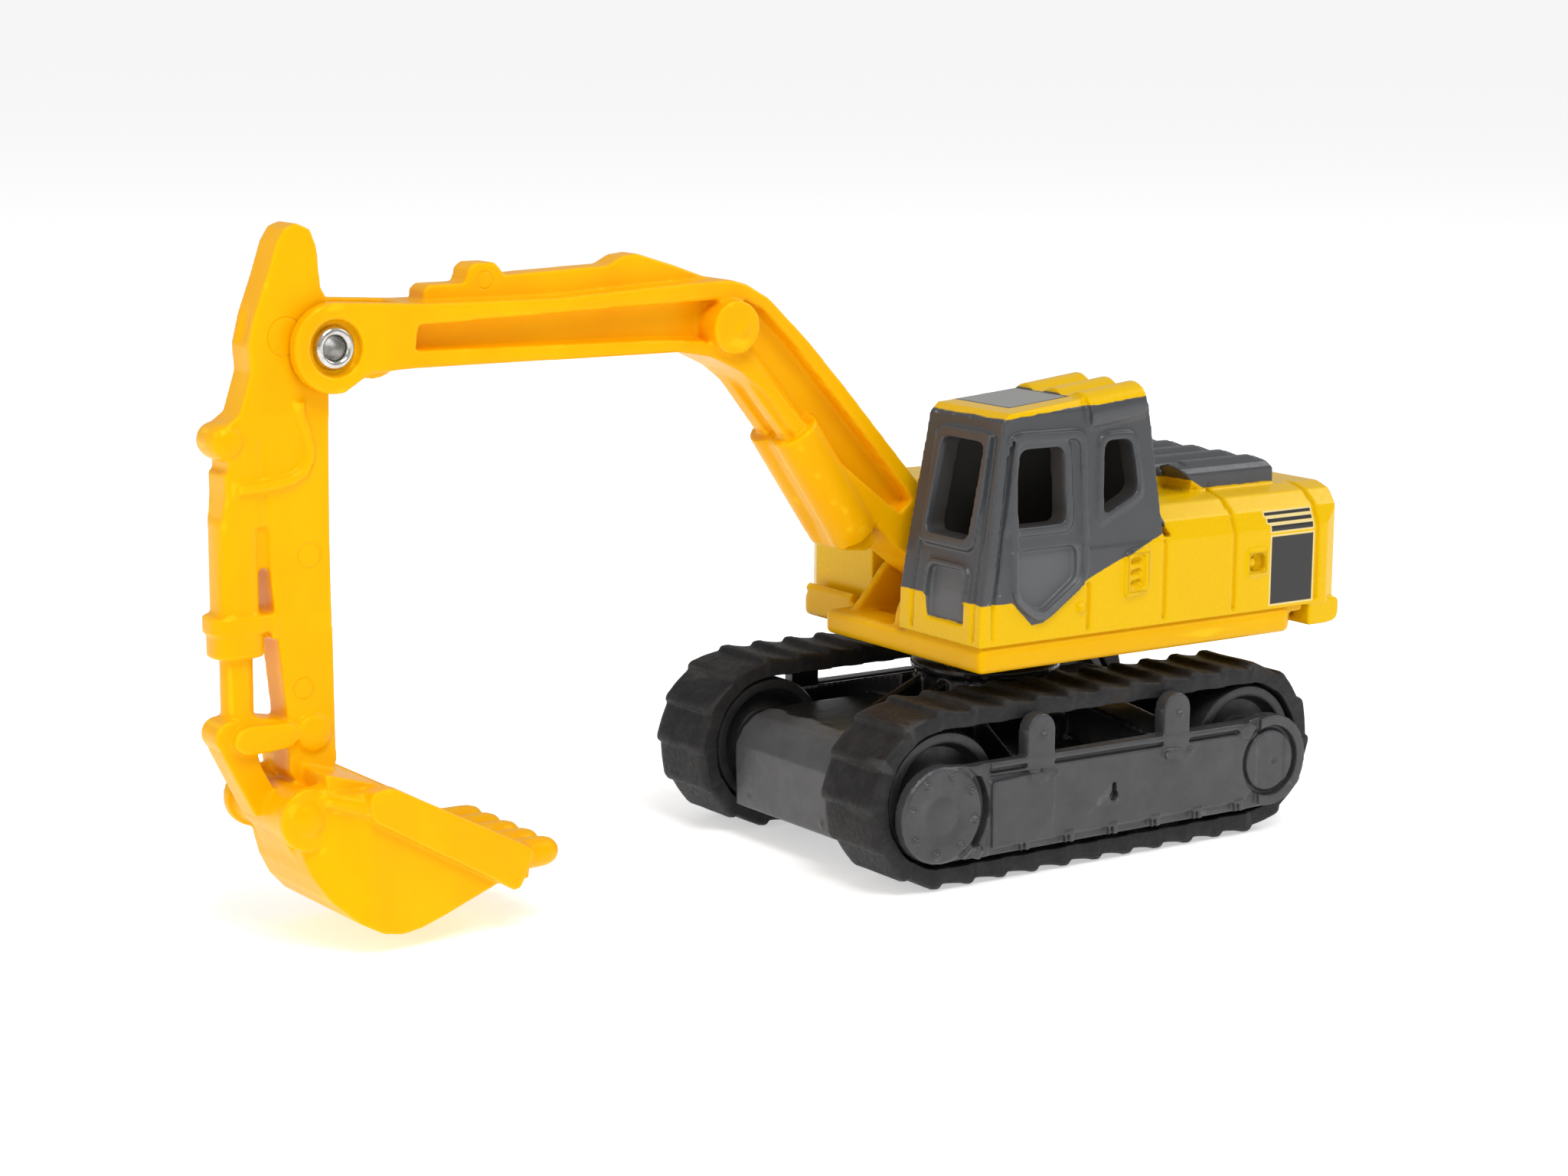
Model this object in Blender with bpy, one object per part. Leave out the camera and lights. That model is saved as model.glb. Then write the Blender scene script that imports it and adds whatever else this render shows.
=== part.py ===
"""Pocket-size toy excavator: a die-cast upper body on a plastic undercarriage.

Units: every dimension below is in millimetres and becomes metres in MM.
Axes: +X is the way the boom points, +Y the cab's side, +Z up.
Design coordinates have the slewing axis at X = 0, Y = 0 and the ground at Z = 0.
The assembly is then shifted by ORIGIN_X so that the model's origin is the
middle of its footprint.
"""

import math

import bmesh
import bpy
from mathutils import Matrix, Vector

MM = 0.001
ORIGIN_X = -17.40
GAP = 0.12

# Undercarriage
AXLE_X = 12.2
AXLE_Z = 5.65
AXLE_R = 0.7
WHEEL_R = 4.1
BELT_INNER_R = 4.25
BELT_R = 5.1
LUG_HEIGHT = 0.55
LUG_COUNT = 32
BELT_IN = 6.45
BELT_OUT = 11.8
FRAME_OUT = 12.9
TABS_X = (5.75, -5.2)
TAB_R = 1.08
FRAME_END_X = 13.2
FRAME_END_Z = 5.0
FRAME_R = 3.0
BOX_Y = 5.6
TURRET_R = 4.5
TURRET_TOP = 12.7
LEG_DEPTH = 2.6
PEG_X = 5.5
PEG_Z = 6.35

# Upper structure
DECK_BOTTOM = 12.95
DECK_TOP = 14.5
SIDE_Y = 11.8
CAB_FRONT = 9.9
CAB_INNER_Y = 3.75
CAB_REAR = -4.65
ROOF_Z = 28.4
ROOF_RIBS_Y = (5.35, 8.0, 10.5)
BODY_REAR = -20.0
BODY_TOP = 22.2
BAY_RIGHT_Y = -3.75
BAY_REAR = -3.2
HOOD_TOP = 23.2
HOOD_Y = 9.1
HOOD_RIBS = 7
HOOD_FRONT = -4.2
HOOD_REAR = -16.2
RIVET_POSTS = ((-15.0, 0.0), (7.9, 7.6))

# Boom and arm
BOOM_PIVOT = (3.4, 18.0)
ARM_PIVOT = (47.5, 33.9)
BOOM_Y = 2.2
BOOM_WEB_Y = 0.95
FORK_SLOT_Y = 1.3
EYE_R = 2.55
ARM_Y = 1.15
CYLINDER_Y = 1.7
PIN_R = 0.8
ARM_RIVET_R = 0.95
ARM_RIVET_BORE = 0.68
BUCKET_Y = 5.1
BUCKET_WALL = 0.85
LIP_Y = 5.4
TEETH = 5
TOOTH_PITCH = 2.15

YELLOW = (1.0, 0.55, 0.005)
PAINT_YELLOW = (0.93, 0.56, 0.004)
DARK_GREY = (0.075, 0.078, 0.083)
BLACK = (0.02, 0.02, 0.021)
STEEL = (0.62, 0.61, 0.58)


def clear_scene():
    for old in list(bpy.data.objects):
        bpy.data.objects.remove(old, do_unlink=True)


def material(name, colour, roughness, metallic=0.0):
    made = bpy.data.materials.new(name)
    made.use_nodes = True
    shader = made.node_tree.nodes["Principled BSDF"]
    shader.inputs["Base Color"].default_value = (*colour, 1.0)
    shader.inputs["Roughness"].default_value = roughness
    shader.inputs["Metallic"].default_value = metallic
    return made


def joint_frame(name, x, z, parent=None):
    """An empty on a joint's axis; the pieces that turn about it are its children."""
    made = bpy.data.objects.new(name, None)
    bpy.context.collection.objects.link(made)
    made.matrix_world = Matrix.Translation(((x + ORIGIN_X) * MM, 0, z * MM))
    if parent:
        made.parent = parent
        made.matrix_parent_inverse = parent.matrix_world.inverted()
    return made


def finish(bm, name):
    """Turns a bmesh into an object, still in design millimetres."""
    bmesh.ops.remove_doubles(bm, verts=bm.verts, dist=1e-4)
    bmesh.ops.recalc_face_normals(bm, faces=bm.faces)
    if bm.calc_volume(signed=True) < 0:
        bmesh.ops.reverse_faces(bm, faces=bm.faces)
    mesh = bpy.data.meshes.new(name)
    bm.to_mesh(mesh)
    bm.free()
    made = bpy.data.objects.new(name, mesh)
    bpy.context.collection.objects.link(made)
    return made


def prism(name, outline, low, high, axis="Y"):
    """Extrudes an outline along an axis. Outlines are (x, z) for Y, (x, y) for Z, (y, z) for X."""
    bm = bmesh.new()
    place = {
        "Y": lambda a, b, c: (a, c, b),
        "Z": lambda a, b, c: (a, b, c),
        "X": lambda a, b, c: (c, a, b),
    }[axis]
    face = bm.faces.new([bm.verts.new(place(a, b, low)) for a, b in outline])
    swept = bmesh.ops.extrude_face_region(bm, geom=[face])
    top = [item for item in swept["geom"] if isinstance(item, bmesh.types.BMVert)]
    shift = Vector(place(0, 0, high - low))
    bmesh.ops.translate(bm, vec=shift, verts=top)
    return finish(bm, name)


def box(name, x, y, z):
    outline = [(x[0], z[0]), (x[1], z[0]), (x[1], z[1]), (x[0], z[1])]
    return prism(name, outline, y[0], y[1])


def turned(name, profile, centre, axis="Y", steps=24):
    """Spins (radius, height) points about an axis; both ends meet the axis or each other."""
    bm = bmesh.new()
    points = [bm.verts.new((radius, 0, height)) for radius, height in profile]
    closed = profile[0][0] > 0
    count = len(points) if closed else len(points) - 1
    edges = [bm.edges.new((points[i], points[(i + 1) % len(points)])) for i in range(count)]
    bmesh.ops.spin(
        bm, geom=points + edges, cent=(0, 0, 0), axis=(0, 0, 1),
        angle=2 * math.pi, steps=steps,
    )
    bmesh.ops.remove_doubles(bm, verts=bm.verts, dist=1e-4)
    if axis == "Y":
        bmesh.ops.rotate(bm, matrix=Matrix.Rotation(-math.pi / 2, 3, "X"), verts=bm.verts)
    bmesh.ops.translate(bm, vec=centre, verts=bm.verts)
    return finish(bm, name)


def rod(name, centre, radius, low, high, axis="Y", steps=20):
    profile = [(0, low), (radius, low), (radius, high), (0, high)]
    return turned(name, profile, centre, axis, steps)


def arc(centre, radius, start, end, count):
    """Points on a circle from start to end degrees, both ends included."""
    points = []
    for i in range(count + 1):
        angle = math.radians(start + (end - start) * i / count)
        points.append((centre[0] + radius * math.cos(angle), centre[1] + radius * math.sin(angle)))
    return points


def across(side, inner, outer):
    """The low and high Y of a span that lies between two distances from the middle, on one side."""
    return sorted((side * inner, side * outer))


def combine(target, tool, operation):
    step = target.modifiers.new(tool.name, "BOOLEAN")
    step.operation = operation
    step.object = tool
    tool.hide_render = True
    tool.display_type = "WIRE"
    return target


def cut(target, *tools):
    for tool in tools:
        combine(target, tool, "DIFFERENCE")
    return target


def join(target, *tools):
    for tool in tools:
        combine(target, tool, "UNION")
    return target


def bevel(target, width, segments=2):
    step = target.modifiers.new("soft_edges", "BEVEL")
    step.width = width
    step.segments = segments
    step.limit_method = "ANGLE"
    step.angle_limit = math.radians(40)
    return target


def place_piece(piece, finish_material, parent):
    """Settles a piece's modifiers, brings it from design millimetres to metres, and parents it."""
    graph = bpy.context.evaluated_depsgraph_get()
    mesh = bpy.data.meshes.new_from_object(piece.evaluated_get(graph))
    piece.modifiers.clear()
    mesh.transform(Matrix.Translation((ORIGIN_X * MM, 0, 0)) @ Matrix.Scale(MM, 4))
    piece.data = mesh
    for helper in [made for made in bpy.data.objects if made.hide_render]:
        bpy.data.objects.remove(helper, do_unlink=True)
    piece.data.materials.clear()
    piece.data.materials.append(finish_material)
    piece.parent = parent
    piece.matrix_parent_inverse = parent.matrix_world.inverted()
    piece.data.shade_smooth()
    piece.data.set_sharp_from_angle(angle=math.radians(35))
    return piece


# Undercarriage ---------------------------------------------------------------


def make_chassis():
    profile = [(-15.7, 2.2), (15.7, 2.2), (15.75, 6.2), (15.2, 7.2), (14.3, 7.9), (13.0, 8.2)]
    profile += [(-13.0, 8.2), (-14.3, 7.9), (-15.2, 7.2), (-15.75, 6.2)]
    chassis = prism("chassis", profile, -BOX_Y, BOX_Y)
    hub = rod("turret_boss", (0, 0, 0), TURRET_R, 7.5, TURRET_TOP, "Z", 32)
    join(chassis, hub)
    for side in (-1, 1):
        for end in (-1, 1):
            join(chassis, make_leg(side, end))
    cut(chassis, rod("slew_bore", (0, 0, 0), 1.25, 5.0, 13.5, "Z"))
    cut(chassis, box("underside_hollow", (-9.0, 9.0), (-4.2, 4.2), (2.0, 7.2)))
    cut(chassis, box("base_recess", (-11.2, 11.2), (-5.0, 5.0), (2.0, 3.0)))
    for end in (-1, 1):
        bore = rod("axle_bore", (end * AXLE_X, 0, AXLE_Z), AXLE_R + GAP, -7.0, 7.0)
        cut(chassis, bore)
        cut(chassis, rod("rivet_bore", (end * 10.0, 0, 0), 0.62, 2.0, 6.5, "Z", 16))
    return chassis


def make_leg(side, end):
    """One sloping leg of the cross frame, from the turret boss out to a track frame."""
    inner = [(end * 1.3, side * 3.0), (end * 4.4, side * 3.0)]
    outer = [(end * 7.0, side * (BELT_OUT - GAP)), (end * 4.0, side * (BELT_OUT - GAP))]
    plan = inner + outer
    leg = prism("leg", plan, 3.0, 10.4, "Z")
    high, low = 10.2, 7.3
    y0, y1 = side * 2.0, side * 13.0
    slope = [(y0, high), (y1, low), (y1, low - LEG_DEPTH), (y0, high - LEG_DEPTH)]
    combine(leg, prism("leg_slope", slope, -9.0, 9.0, "X"), "INTERSECT")
    cut(leg, rod("peg_hole", (end * PEG_X, 0, PEG_Z), 0.6, *across(side, 9.4, 12.0), "Y", 12))
    return leg


def make_base_plate():
    plate = bevel(box("chassis_base", (-11.1, 11.1), (-4.9, 4.9), (2.2, 2.9)), 0.2, 1)
    for end in (-1, 1):
        cut(plate, rod("base_hole", (end * 10.0, 0, 0), 0.62, 1.5, 4.0, "Z", 16))
    return plate


def make_chassis_rivet(name, end):
    """A headed rivet that holds the base plate: domed head below, shank up into the chassis."""
    profile = [(0, 1.75), (0.6, 1.8), (1.0, 2.08), (0.5, 2.1), (0.5, 6.2), (0, 6.2)]
    return turned(name, profile, (end * 10.0, 0, 0), "Z", 16)


def make_axle(name, end):
    return rod(name, (end * AXLE_X, 0, AXLE_Z), AXLE_R, -BELT_OUT, BELT_OUT, "Y", 20)


def make_wheel(name, end, side):
    """A black wheel pressed on the axle: rim, dished web and hub."""
    bore = AXLE_R + 0.04
    outer, inner = BELT_OUT - 0.35, BELT_IN + 0.25
    profile = [(bore, inner), (1.7, inner), (1.9, inner + 0.9), (3.1, inner + 0.9), (3.4, inner)]
    profile += [(WHEEL_R, inner + 0.15), (WHEEL_R, outer - 0.15), (3.5, outer), (3.2, outer - 0.8)]
    profile += [(1.9, outer - 0.8), (1.7, outer - 0.2), (bore, outer - 0.2)]
    if side < 0:
        profile = [(radius, -height) for radius, height in profile]
    return turned(name, profile, (end * AXLE_X, 0, AXLE_Z), "Y", 28)


def belt_path(radius, offset):
    """A point on the belt's loop at a distance along it, at a radius from the wheel centres."""
    straight = 2 * AXLE_X
    curve = math.pi * BELT_R
    offset = offset % (2 * straight + 2 * curve)
    if offset < straight:
        return (-AXLE_X + offset, AXLE_Z + radius)
    offset -= straight
    if offset < curve:
        angle = math.pi / 2 - offset / BELT_R
        return (AXLE_X + radius * math.cos(angle), AXLE_Z + radius * math.sin(angle))
    offset -= curve
    if offset < straight:
        return (AXLE_X - offset, AXLE_Z - radius)
    offset -= straight
    angle = -math.pi / 2 - offset / BELT_R
    return (-AXLE_X + radius * math.cos(angle), AXLE_Z + radius * math.sin(angle))


def make_belt(name, side):
    """A rubber loop with saw-tooth lugs outside and a smooth inside."""
    length = 4 * AXLE_X + 2 * math.pi * BELT_R
    pitch = length / LUG_COUNT
    outer, inner = [], []
    for i in range(LUG_COUNT):
        outer.append(belt_path(BELT_R, (i + 0.00) * pitch))
        outer.append(belt_path(BELT_R + LUG_HEIGHT, (i + 0.62) * pitch))
        outer.append(belt_path(BELT_R + LUG_HEIGHT, (i + 0.86) * pitch))
        inner.append(belt_path(BELT_INNER_R, i * pitch))
        inner.append(belt_path(BELT_INNER_R, (i + 0.86) * pitch))
    bm = bmesh.new()
    rings = []
    for y in (side * BELT_IN, side * BELT_OUT):
        rings.append([bm.verts.new((x, y, z)) for x, z in outer])
        rings.append([bm.verts.new((x, y, z)) for x, z in inner])
    for a, b in ((0, 2), (1, 3)):
        for i in range(len(rings[a])):
            j = (i + 1) % len(rings[a])
            bm.faces.new((rings[a][i], rings[a][j], rings[b][j], rings[b][i]))
    for out_ring, in_ring in ((rings[0], rings[1]), (rings[2], rings[3])):
        for i in range(LUG_COUNT):
            o, n = 3 * i, 2 * i
            o1, n1 = (o + 3) % len(out_ring), (n + 2) % len(in_ring)
            bm.faces.new((out_ring[o], out_ring[o + 1], out_ring[o + 2], in_ring[n + 1], in_ring[n]))
            bm.faces.new((out_ring[o + 2], out_ring[o1], in_ring[n1], in_ring[n + 1]))
    return finish(bm, name)


def make_track_frame(name, side):
    """The grey side frame outboard of a belt, with a bolted disc, two carrier tabs and two pegs."""
    low, high = across(side, BELT_OUT + GAP, FRAME_OUT)
    front, rear = (FRAME_END_X, FRAME_END_Z), (-FRAME_END_X, FRAME_END_Z)
    outline = [(-11.5, 1.95), (10.6, 1.95), (11.0, 2.1)]
    outline += arc(front, FRAME_R, -90, 90, 12)
    outline += [(11.0, 7.75), (-11.5, 7.75)]
    outline += arc(rear, FRAME_R, 90, 270, 12)
    frame = prism(name, outline, low, high)
    skin = across(side, FRAME_OUT - 0.35, 13.2)
    for z in ((1.0, 2.72), (7.05, 9.0)):
        cut(frame, box("flange_step", (-10.4, 9.6), skin, z))
    for x in TABS_X:
        tab = [(x - TAB_R, 6.9), (x + TAB_R, 6.9)]
        tab += arc((x, 9.3), TAB_R, 0, 180, 8)
        join(frame, prism("carrier_tab", tab, low, high))
    for end in (-1, 1):
        join(frame, rod("peg", (end * PEG_X, 0, PEG_Z), 0.48, *across(side, 9.6, 12.2), "Y", 12))
    disc = rod("disc", (front[0], 0, front[1]), FRAME_R, *across(side, 12.3, 13.15), "Y", 28)
    join(frame, disc)
    return frame


# Upper structure -------------------------------------------------------------


def make_deck():
    """The yellow floor of the upper body, with the two cheeks that carry the boom."""
    plan = [(9.8, SIDE_Y), (9.8, -4.2), (7.4, -4.4), (7.4, -9.8), (5.4, -SIDE_Y)]
    plan += [(-15.4, -SIDE_Y), (-17.1, -10.1), (-17.1, 10.1), (-15.4, SIDE_Y)]
    deck = bevel(prism("deck", plan, DECK_BOTTOM, DECK_TOP, "Z"), 0.35, 2)
    cheek = [(9.3, 14.2), (9.1, 15.4), (8.0, 17.6), (6.0, 19.9)]
    cheek += arc(BOOM_PIVOT, 2.3, 50, 180, 6) + [(1.1, 14.2)]
    for side in (-1, 1):
        outline = cheek if side > 0 else [(4.6, 14.2)] + cheek[4:]
        join(deck, prism("cheek", outline, *across(side, BOOM_Y + 0.15, -BAY_RIGHT_Y - GAP)))
    join(deck, box("step_lip", (6.75, 7.3), (-9.5, -4.6), (14.0, 15.0)))
    pin_centre = (BOOM_PIVOT[0], 0, BOOM_PIVOT[1])
    cut(deck, rod("boom_pin_bore", pin_centre, PIN_R + 0.04, -5.0, 5.0, "Y", 16))
    cut(deck, rod("slew_rivet_bore", (0, 0, 0), 1.14, 12.0, 15.5, "Z", 20))
    cut(deck, box("boom_relief", (1.2, 7.0), (-2.3, 2.3), (14.1, 16.0)))
    for x, y in RIVET_POSTS:
        cut(deck, rod("deck_rivet_bore", (x, y, 0), 0.62, 12.0, 15.5, "Z", 16))
    return deck


def make_body_casting():
    """Cab, engine housing and counterweight in one hollow die casting, open below."""
    low = DECK_TOP + GAP
    shoulder = [(SIDE_Y, low), (SIDE_Y, 19.9), (11.35, 21.0), (10.3, 21.9), (9.2, BODY_TOP)]
    section = shoulder + [(-y, z) for y, z in reversed(shoulder)]
    body = prism("body_casting", section, BODY_REAR - 1.0, 7.0, "X")
    skirt_y = SIDE_Y - 0.1
    join(body, box("rear_skirt", (BODY_REAR - 1.0, -17.3), (-skirt_y, skirt_y), (13.2, low + 0.4)))
    plan = [(6.4, 13.0), (6.4, -9.9), (5.9, -10.9), (4.8, -11.6), (3.2, -12.2), (3.2, -13.0)]
    corner = [(BODY_REAR, 9.0), (BODY_REAR + 0.1, 10.6), (BODY_REAR + 0.4, 11.4), (BODY_REAR + 1.5, 11.85)]
    plan += [(-16.0, -13.0), (-16.0, -12.0)] + [(x, -y) for x, y in reversed(corner)]
    plan += corner + [(-16.0, 12.0), (-16.0, 13.0)]
    combine(body, prism("plan_limit", plan, 10.0, 30.0, "Z"), "INTERSECT")
    toolbox = [(2.2, 25.0), (2.2, BODY_TOP - 0.6), (3.2, 19.6), (8.0, 19.2), (8.0, 25.0)]
    cut(body, prism("toolbox_slope", toolbox, -13.0, CAB_INNER_Y + 3.0))
    bay = box("boom_bay", (BAY_REAR, 12.0), (BAY_RIGHT_Y, CAB_INNER_Y - 0.1), (14.0, 26.0))
    cab = make_cab(low)
    hood = make_hood()
    join(body, cab, hood)
    cut(body, bay)
    cut(body, *make_cavities(low))
    cut(body, *make_windows())
    for (x, y), top, bore in zip(RIVET_POSTS, (21.5, 18.0), (18.0, 16.6)):
        foot = low + 0.2
        profile = [(0, bore), (0.62, bore), (0.62, foot), (1.5, foot), (1.5, top), (0, top)]
        join(body, turned("rivet_post", profile, (x, y, 0), "Z", 12))
    return body


def make_cab(low):
    side_view = [(CAB_REAR, low), (CAB_FRONT, low), (CAB_FRONT - 0.05, 17.0), (8.05, 28.1)]
    side_view += [(7.5, ROOF_Z + 0.2), (-2.7, ROOF_Z + 1.1), (-3.35, ROOF_Z + 0.6), (-4.55, 20.3)]
    cab = prism("cab", side_view, CAB_INNER_Y, SIDE_Y)
    front_view = [(CAB_INNER_Y - 0.1, 14.0), (SIDE_Y + 0.1, 14.0), (SIDE_Y + 0.1, 17.0)]
    front_view += [(11.35, 28.5), (10.9, 29.2), (8.5, 29.6), (6.0, 29.6), (4.7, 29.3), (4.2, 28.5)]
    front_view += [(CAB_INNER_Y - 0.1, 17.0)]
    combine(cab, prism("cab_sides", front_view, -6.0, 12.0, "X"), "INTERSECT")
    for y in ROOF_RIBS_Y:
        join(cab, rod("roof_rib", (0, y, ROOF_Z + 0.85), 0.65, -3.1, 1.1, "X", 12))
    return cab


def make_hood():
    """The engine cover: lengthwise half-round ribs between a slanted front and a rounded rear."""
    pitch = 2 * HOOD_Y / HOOD_RIBS
    section = [(HOOD_Y, BODY_TOP - 1.0)]
    for i in range(HOOD_RIBS):
        middle = HOOD_Y - pitch * (i + 0.5)
        for degrees in (12, 45, 90, 135, 168):
            angle = math.radians(degrees)
            section.append((middle + pitch / 2 * math.cos(angle), HOOD_TOP + 0.75 * math.sin(angle)))
    section += [(-HOOD_Y, BODY_TOP - 1.0)]
    hood = prism("hood", section, HOOD_REAR, HOOD_FRONT, "X")
    side = [(HOOD_REAR, 21.0), (HOOD_REAR, 23.2), (-15.9, 23.7), (-15.3, 24.2)]
    side += [(HOOD_FRONT, 24.2), (HOOD_FRONT, 21.0)]
    combine(hood, prism("hood_ends", side, -10.0, 10.0), "INTERSECT")
    corner = [(-9.9, BODY_TOP), (-7.4, 24.6), (-4.0, 24.6), (-4.0, BODY_TOP)]
    cut(hood, prism("hood_corner", corner, HOOD_Y - pitch, HOOD_Y + 1.0))
    return hood


def make_cavities(low):
    wall = 1.1
    engine = box("engine_hollow", (BODY_REAR + 2.4, BAY_REAR - wall), (-SIDE_Y + 1.6, SIDE_Y - 1.6),
                 (low - 1.0, BODY_TOP - 1.2))
    right = box("tank_hollow", (BAY_REAR - 2.0, 5.2), (-SIDE_Y + 1.6, BAY_RIGHT_Y - wall),
                (low - 1.0, 18.2))
    cab_view = [(CAB_REAR + wall, low - 1.0), (CAB_FRONT - wall, low - 1.0), (CAB_FRONT - wall, 17.0)]
    cab_view += [(7.0, 27.3), (-2.3, 27.6), (-3.4, 20.3)]
    cab = prism("cab_hollow", cab_view, CAB_INNER_Y + wall, SIDE_Y - wall)
    return [engine, right, cab]


def make_windows():
    left_front = [(7.0, 26.5), (3.4, 26.5), (3.2, 21.6), (7.6, 21.6)]
    left_rear = [(0.1, 26.6), (-2.0, 26.6), (-2.6, 23.1), (0.5, 21.7), (0.55, 26.0)]
    front = [(10.3, 26.9), (6.0, 26.9), (5.6, 20.8), (10.0, 20.8)]
    right = [(6.9, 26.5), (-0.8, 26.5), (-1.2, 22.6), (7.4, 22.6)]
    return [
        prism("window_left", left_front, 9.0, 13.0),
        prism("window_left_rear", left_rear, 9.0, 13.0),
        prism("window_front", front, 6.0, 12.0, "X"),
        prism("blind_window_right", right, 2.0, CAB_INNER_Y + 0.5),
    ]


def make_deck_rivet(name, x, y, top):
    profile = [(0, 12.35), (0.7, 12.4), (1.1, 12.75), (0.5, 12.8), (0.5, top), (0, top)]
    return turned(name, profile, (x, y, 0), "Z", 16)


def make_slew_rivet():
    """The rivet that the upper body turns on: head above the deck, rolled end in the chassis."""
    profile = [(0, 5.5), (1.5, 5.6), (1.7, 6.0), (1.5, 6.4), (1.1, 6.42), (1.1, 14.6)]
    profile += [(2.0, 14.6), (2.0, 15.0), (1.6, 15.2), (0, 15.2)]
    return turned("slew_rivet", profile, (0, 0, 0), "Z", 24)


def make_slew_washer():
    return turned("slew_washer", [(1.2, 6.5), (2.6, 6.5), (2.6, 7.05), (1.2, 7.05)], (0, 0, 0), "Z", 24)


# Boom ------------------------------------------------------------------------


def make_boom():
    """Box-section boom moulded together with its hydraulic cylinders."""
    px, pz = BOOM_PIVOT
    outline = arc(ARM_PIVOT, EYE_R, -100, 100, 14)
    outline += [(42.0, 36.1), (33.5, 36.0), (27.5, 36.3), (22.9, 36.5), (21.4, 36.5), (20.3, 36.2)]
    outline += [(18.7, 35.3), (15.8, 32.6), (12.8, 29.4), (10.2, 26.5), (7.3, 23.3), (5.2, 20.9)]
    outline += arc(BOOM_PIVOT, 2.2, 130, 290, 10)
    outline += [(6.4, 17.4), (9.0, 19.4), (12.4, 22.6), (15.3, 25.4), (17.2, 27.5), (18.9, 29.6)]
    outline += [(20.7, 31.0), (22.8, 32.0), (25.0, 32.4), (42.6, 32.5), (45.4, 32.4)]
    boom = prism("boom", outline, -BOOM_Y, BOOM_Y)
    pocket = [(42.4, 34.9), (42.6, 33.5), (26.0, 33.2), (23.4, 33.0), (20.6, 31.9), (18.6, 30.4)]
    pocket += [(16.6, 28.2), (13.4, 25.1), (9.7, 22.2), (8.7, 21.5), (7.8, 22.2), (8.4, 23.1)]
    pocket += [(11.1, 26.1), (13.7, 29.0), (16.6, 32.2), (19.1, 34.6), (20.9, 35.4), (30.0, 35.2)]
    for side in (-1, 1):
        cut(boom, prism("side_pocket", pocket, *across(side, BOOM_WEB_Y, BOOM_Y + 1.0)))
    join(boom, *make_boom_cylinders(), make_arm_cylinder())
    cut(boom, box("fork_slot", (42.9, 51.0), (-FORK_SLOT_Y, FORK_SLOT_Y), (30.0, 38.0)))
    eye = (ARM_PIVOT[0], 0, ARM_PIVOT[1])
    cut(boom, rod("arm_rivet_bore", eye, ARM_RIVET_R + 0.04, -4.0, 4.0, "Y", 20))
    for side in (-1, 1):
        depth = across(side, BOOM_Y - 0.55, BOOM_Y + 1.0)
        cut(boom, rod("rivet_well", eye, 1.6, *depth, "Y", 24))
    cut(boom, rod("foot_bore", (px, 0, pz), PIN_R + 0.04, -4.0, 4.0, "Y", 16))
    return boom


def make_boom_cylinders():
    """The lift cylinders: one block under the boom, with a rod and a pin disc on each side."""
    block = arc((15.8, 25.9), 0.9, 20, 150, 5) + [(12.6, 24.0), (10.9, 21.4)]
    block += arc((11.1, 20.0), 0.8, 170, 260, 4) + [(12.7, 19.4), (14.3, 22.3), (16.1, 24.8)]
    pieces = [prism("lift_cylinder", block, -CYLINDER_Y, CYLINDER_Y)]
    for side in (-1, 1):
        rod_outline = [(20.6, 33.6), (22.0, 32.9), (16.6, 26.2), (15.0, 26.9)]
        pieces.append(prism("lift_rod", rod_outline, *across(side, 0.5, 1.7)))
        pieces.append(rod("lift_pin_disc", (21.5, 0, 33.75), 1.6, *across(side, 0.5, 3.0), "Y", 24))
    return pieces


def make_arm_cylinder():
    """The arm cylinder on top of the boom, in one lengthwise outline."""
    outline = [(41.4, 35.0), (41.4, 36.7), (41.0, 37.0), (38.7, 37.0), (38.5, 37.8), (38.1, 38.1)]
    outline += [(36.8, 38.1), (36.4, 37.7), (36.2, 37.35), (29.2, 37.6), (28.2, 38.1), (27.2, 38.2)]
    outline += [(24.6, 37.4), (21.2, 36.2), (21.2, 35.0)]
    return prism("arm_cylinder", outline, -0.95, 0.95)


# Arm and bucket --------------------------------------------------------------


def make_arm_and_bucket():
    """Arm, its bucket cylinder, the links and the bucket: one moulding."""
    arm = [(48.1, 39.4), (48.5, 40.4), (49.3, 40.75), (50.0, 40.5), (50.5, 39.7), (51.1, 37.9)]
    arm += [(51.9, 35.8), (52.3, 34.2), (52.2, 32.7), (52.9, 30.5), (53.9, 29.8), (54.7, 29.3)]
    arm += [(54.6, 28.4), (53.9, 27.8), (53.8, 24.0), (51.4, 23.9), (51.2, 20.8), (50.4, 13.5)]
    arm += [(50.3, 10.2), (49.4, 8.8), (48.0, 9.0)]
    arm += [(47.4, 10.5), (47.6, 23.4), (47.5, 31.6)] + arc(ARM_PIVOT, 2.3, 265, 95, 10) + [(47.9, 37.2)]
    made = prism("arm_and_bucket", arm, -ARM_Y, ARM_Y)
    join(made, *make_bucket_cylinder(), make_bucket_shell(), *make_teeth())
    cut(made, rod("pivot_bore", (ARM_PIVOT[0], 0, ARM_PIVOT[1]), ARM_RIVET_R + 0.04, -4.0, 4.0, "Y", 20))
    return made


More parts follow.
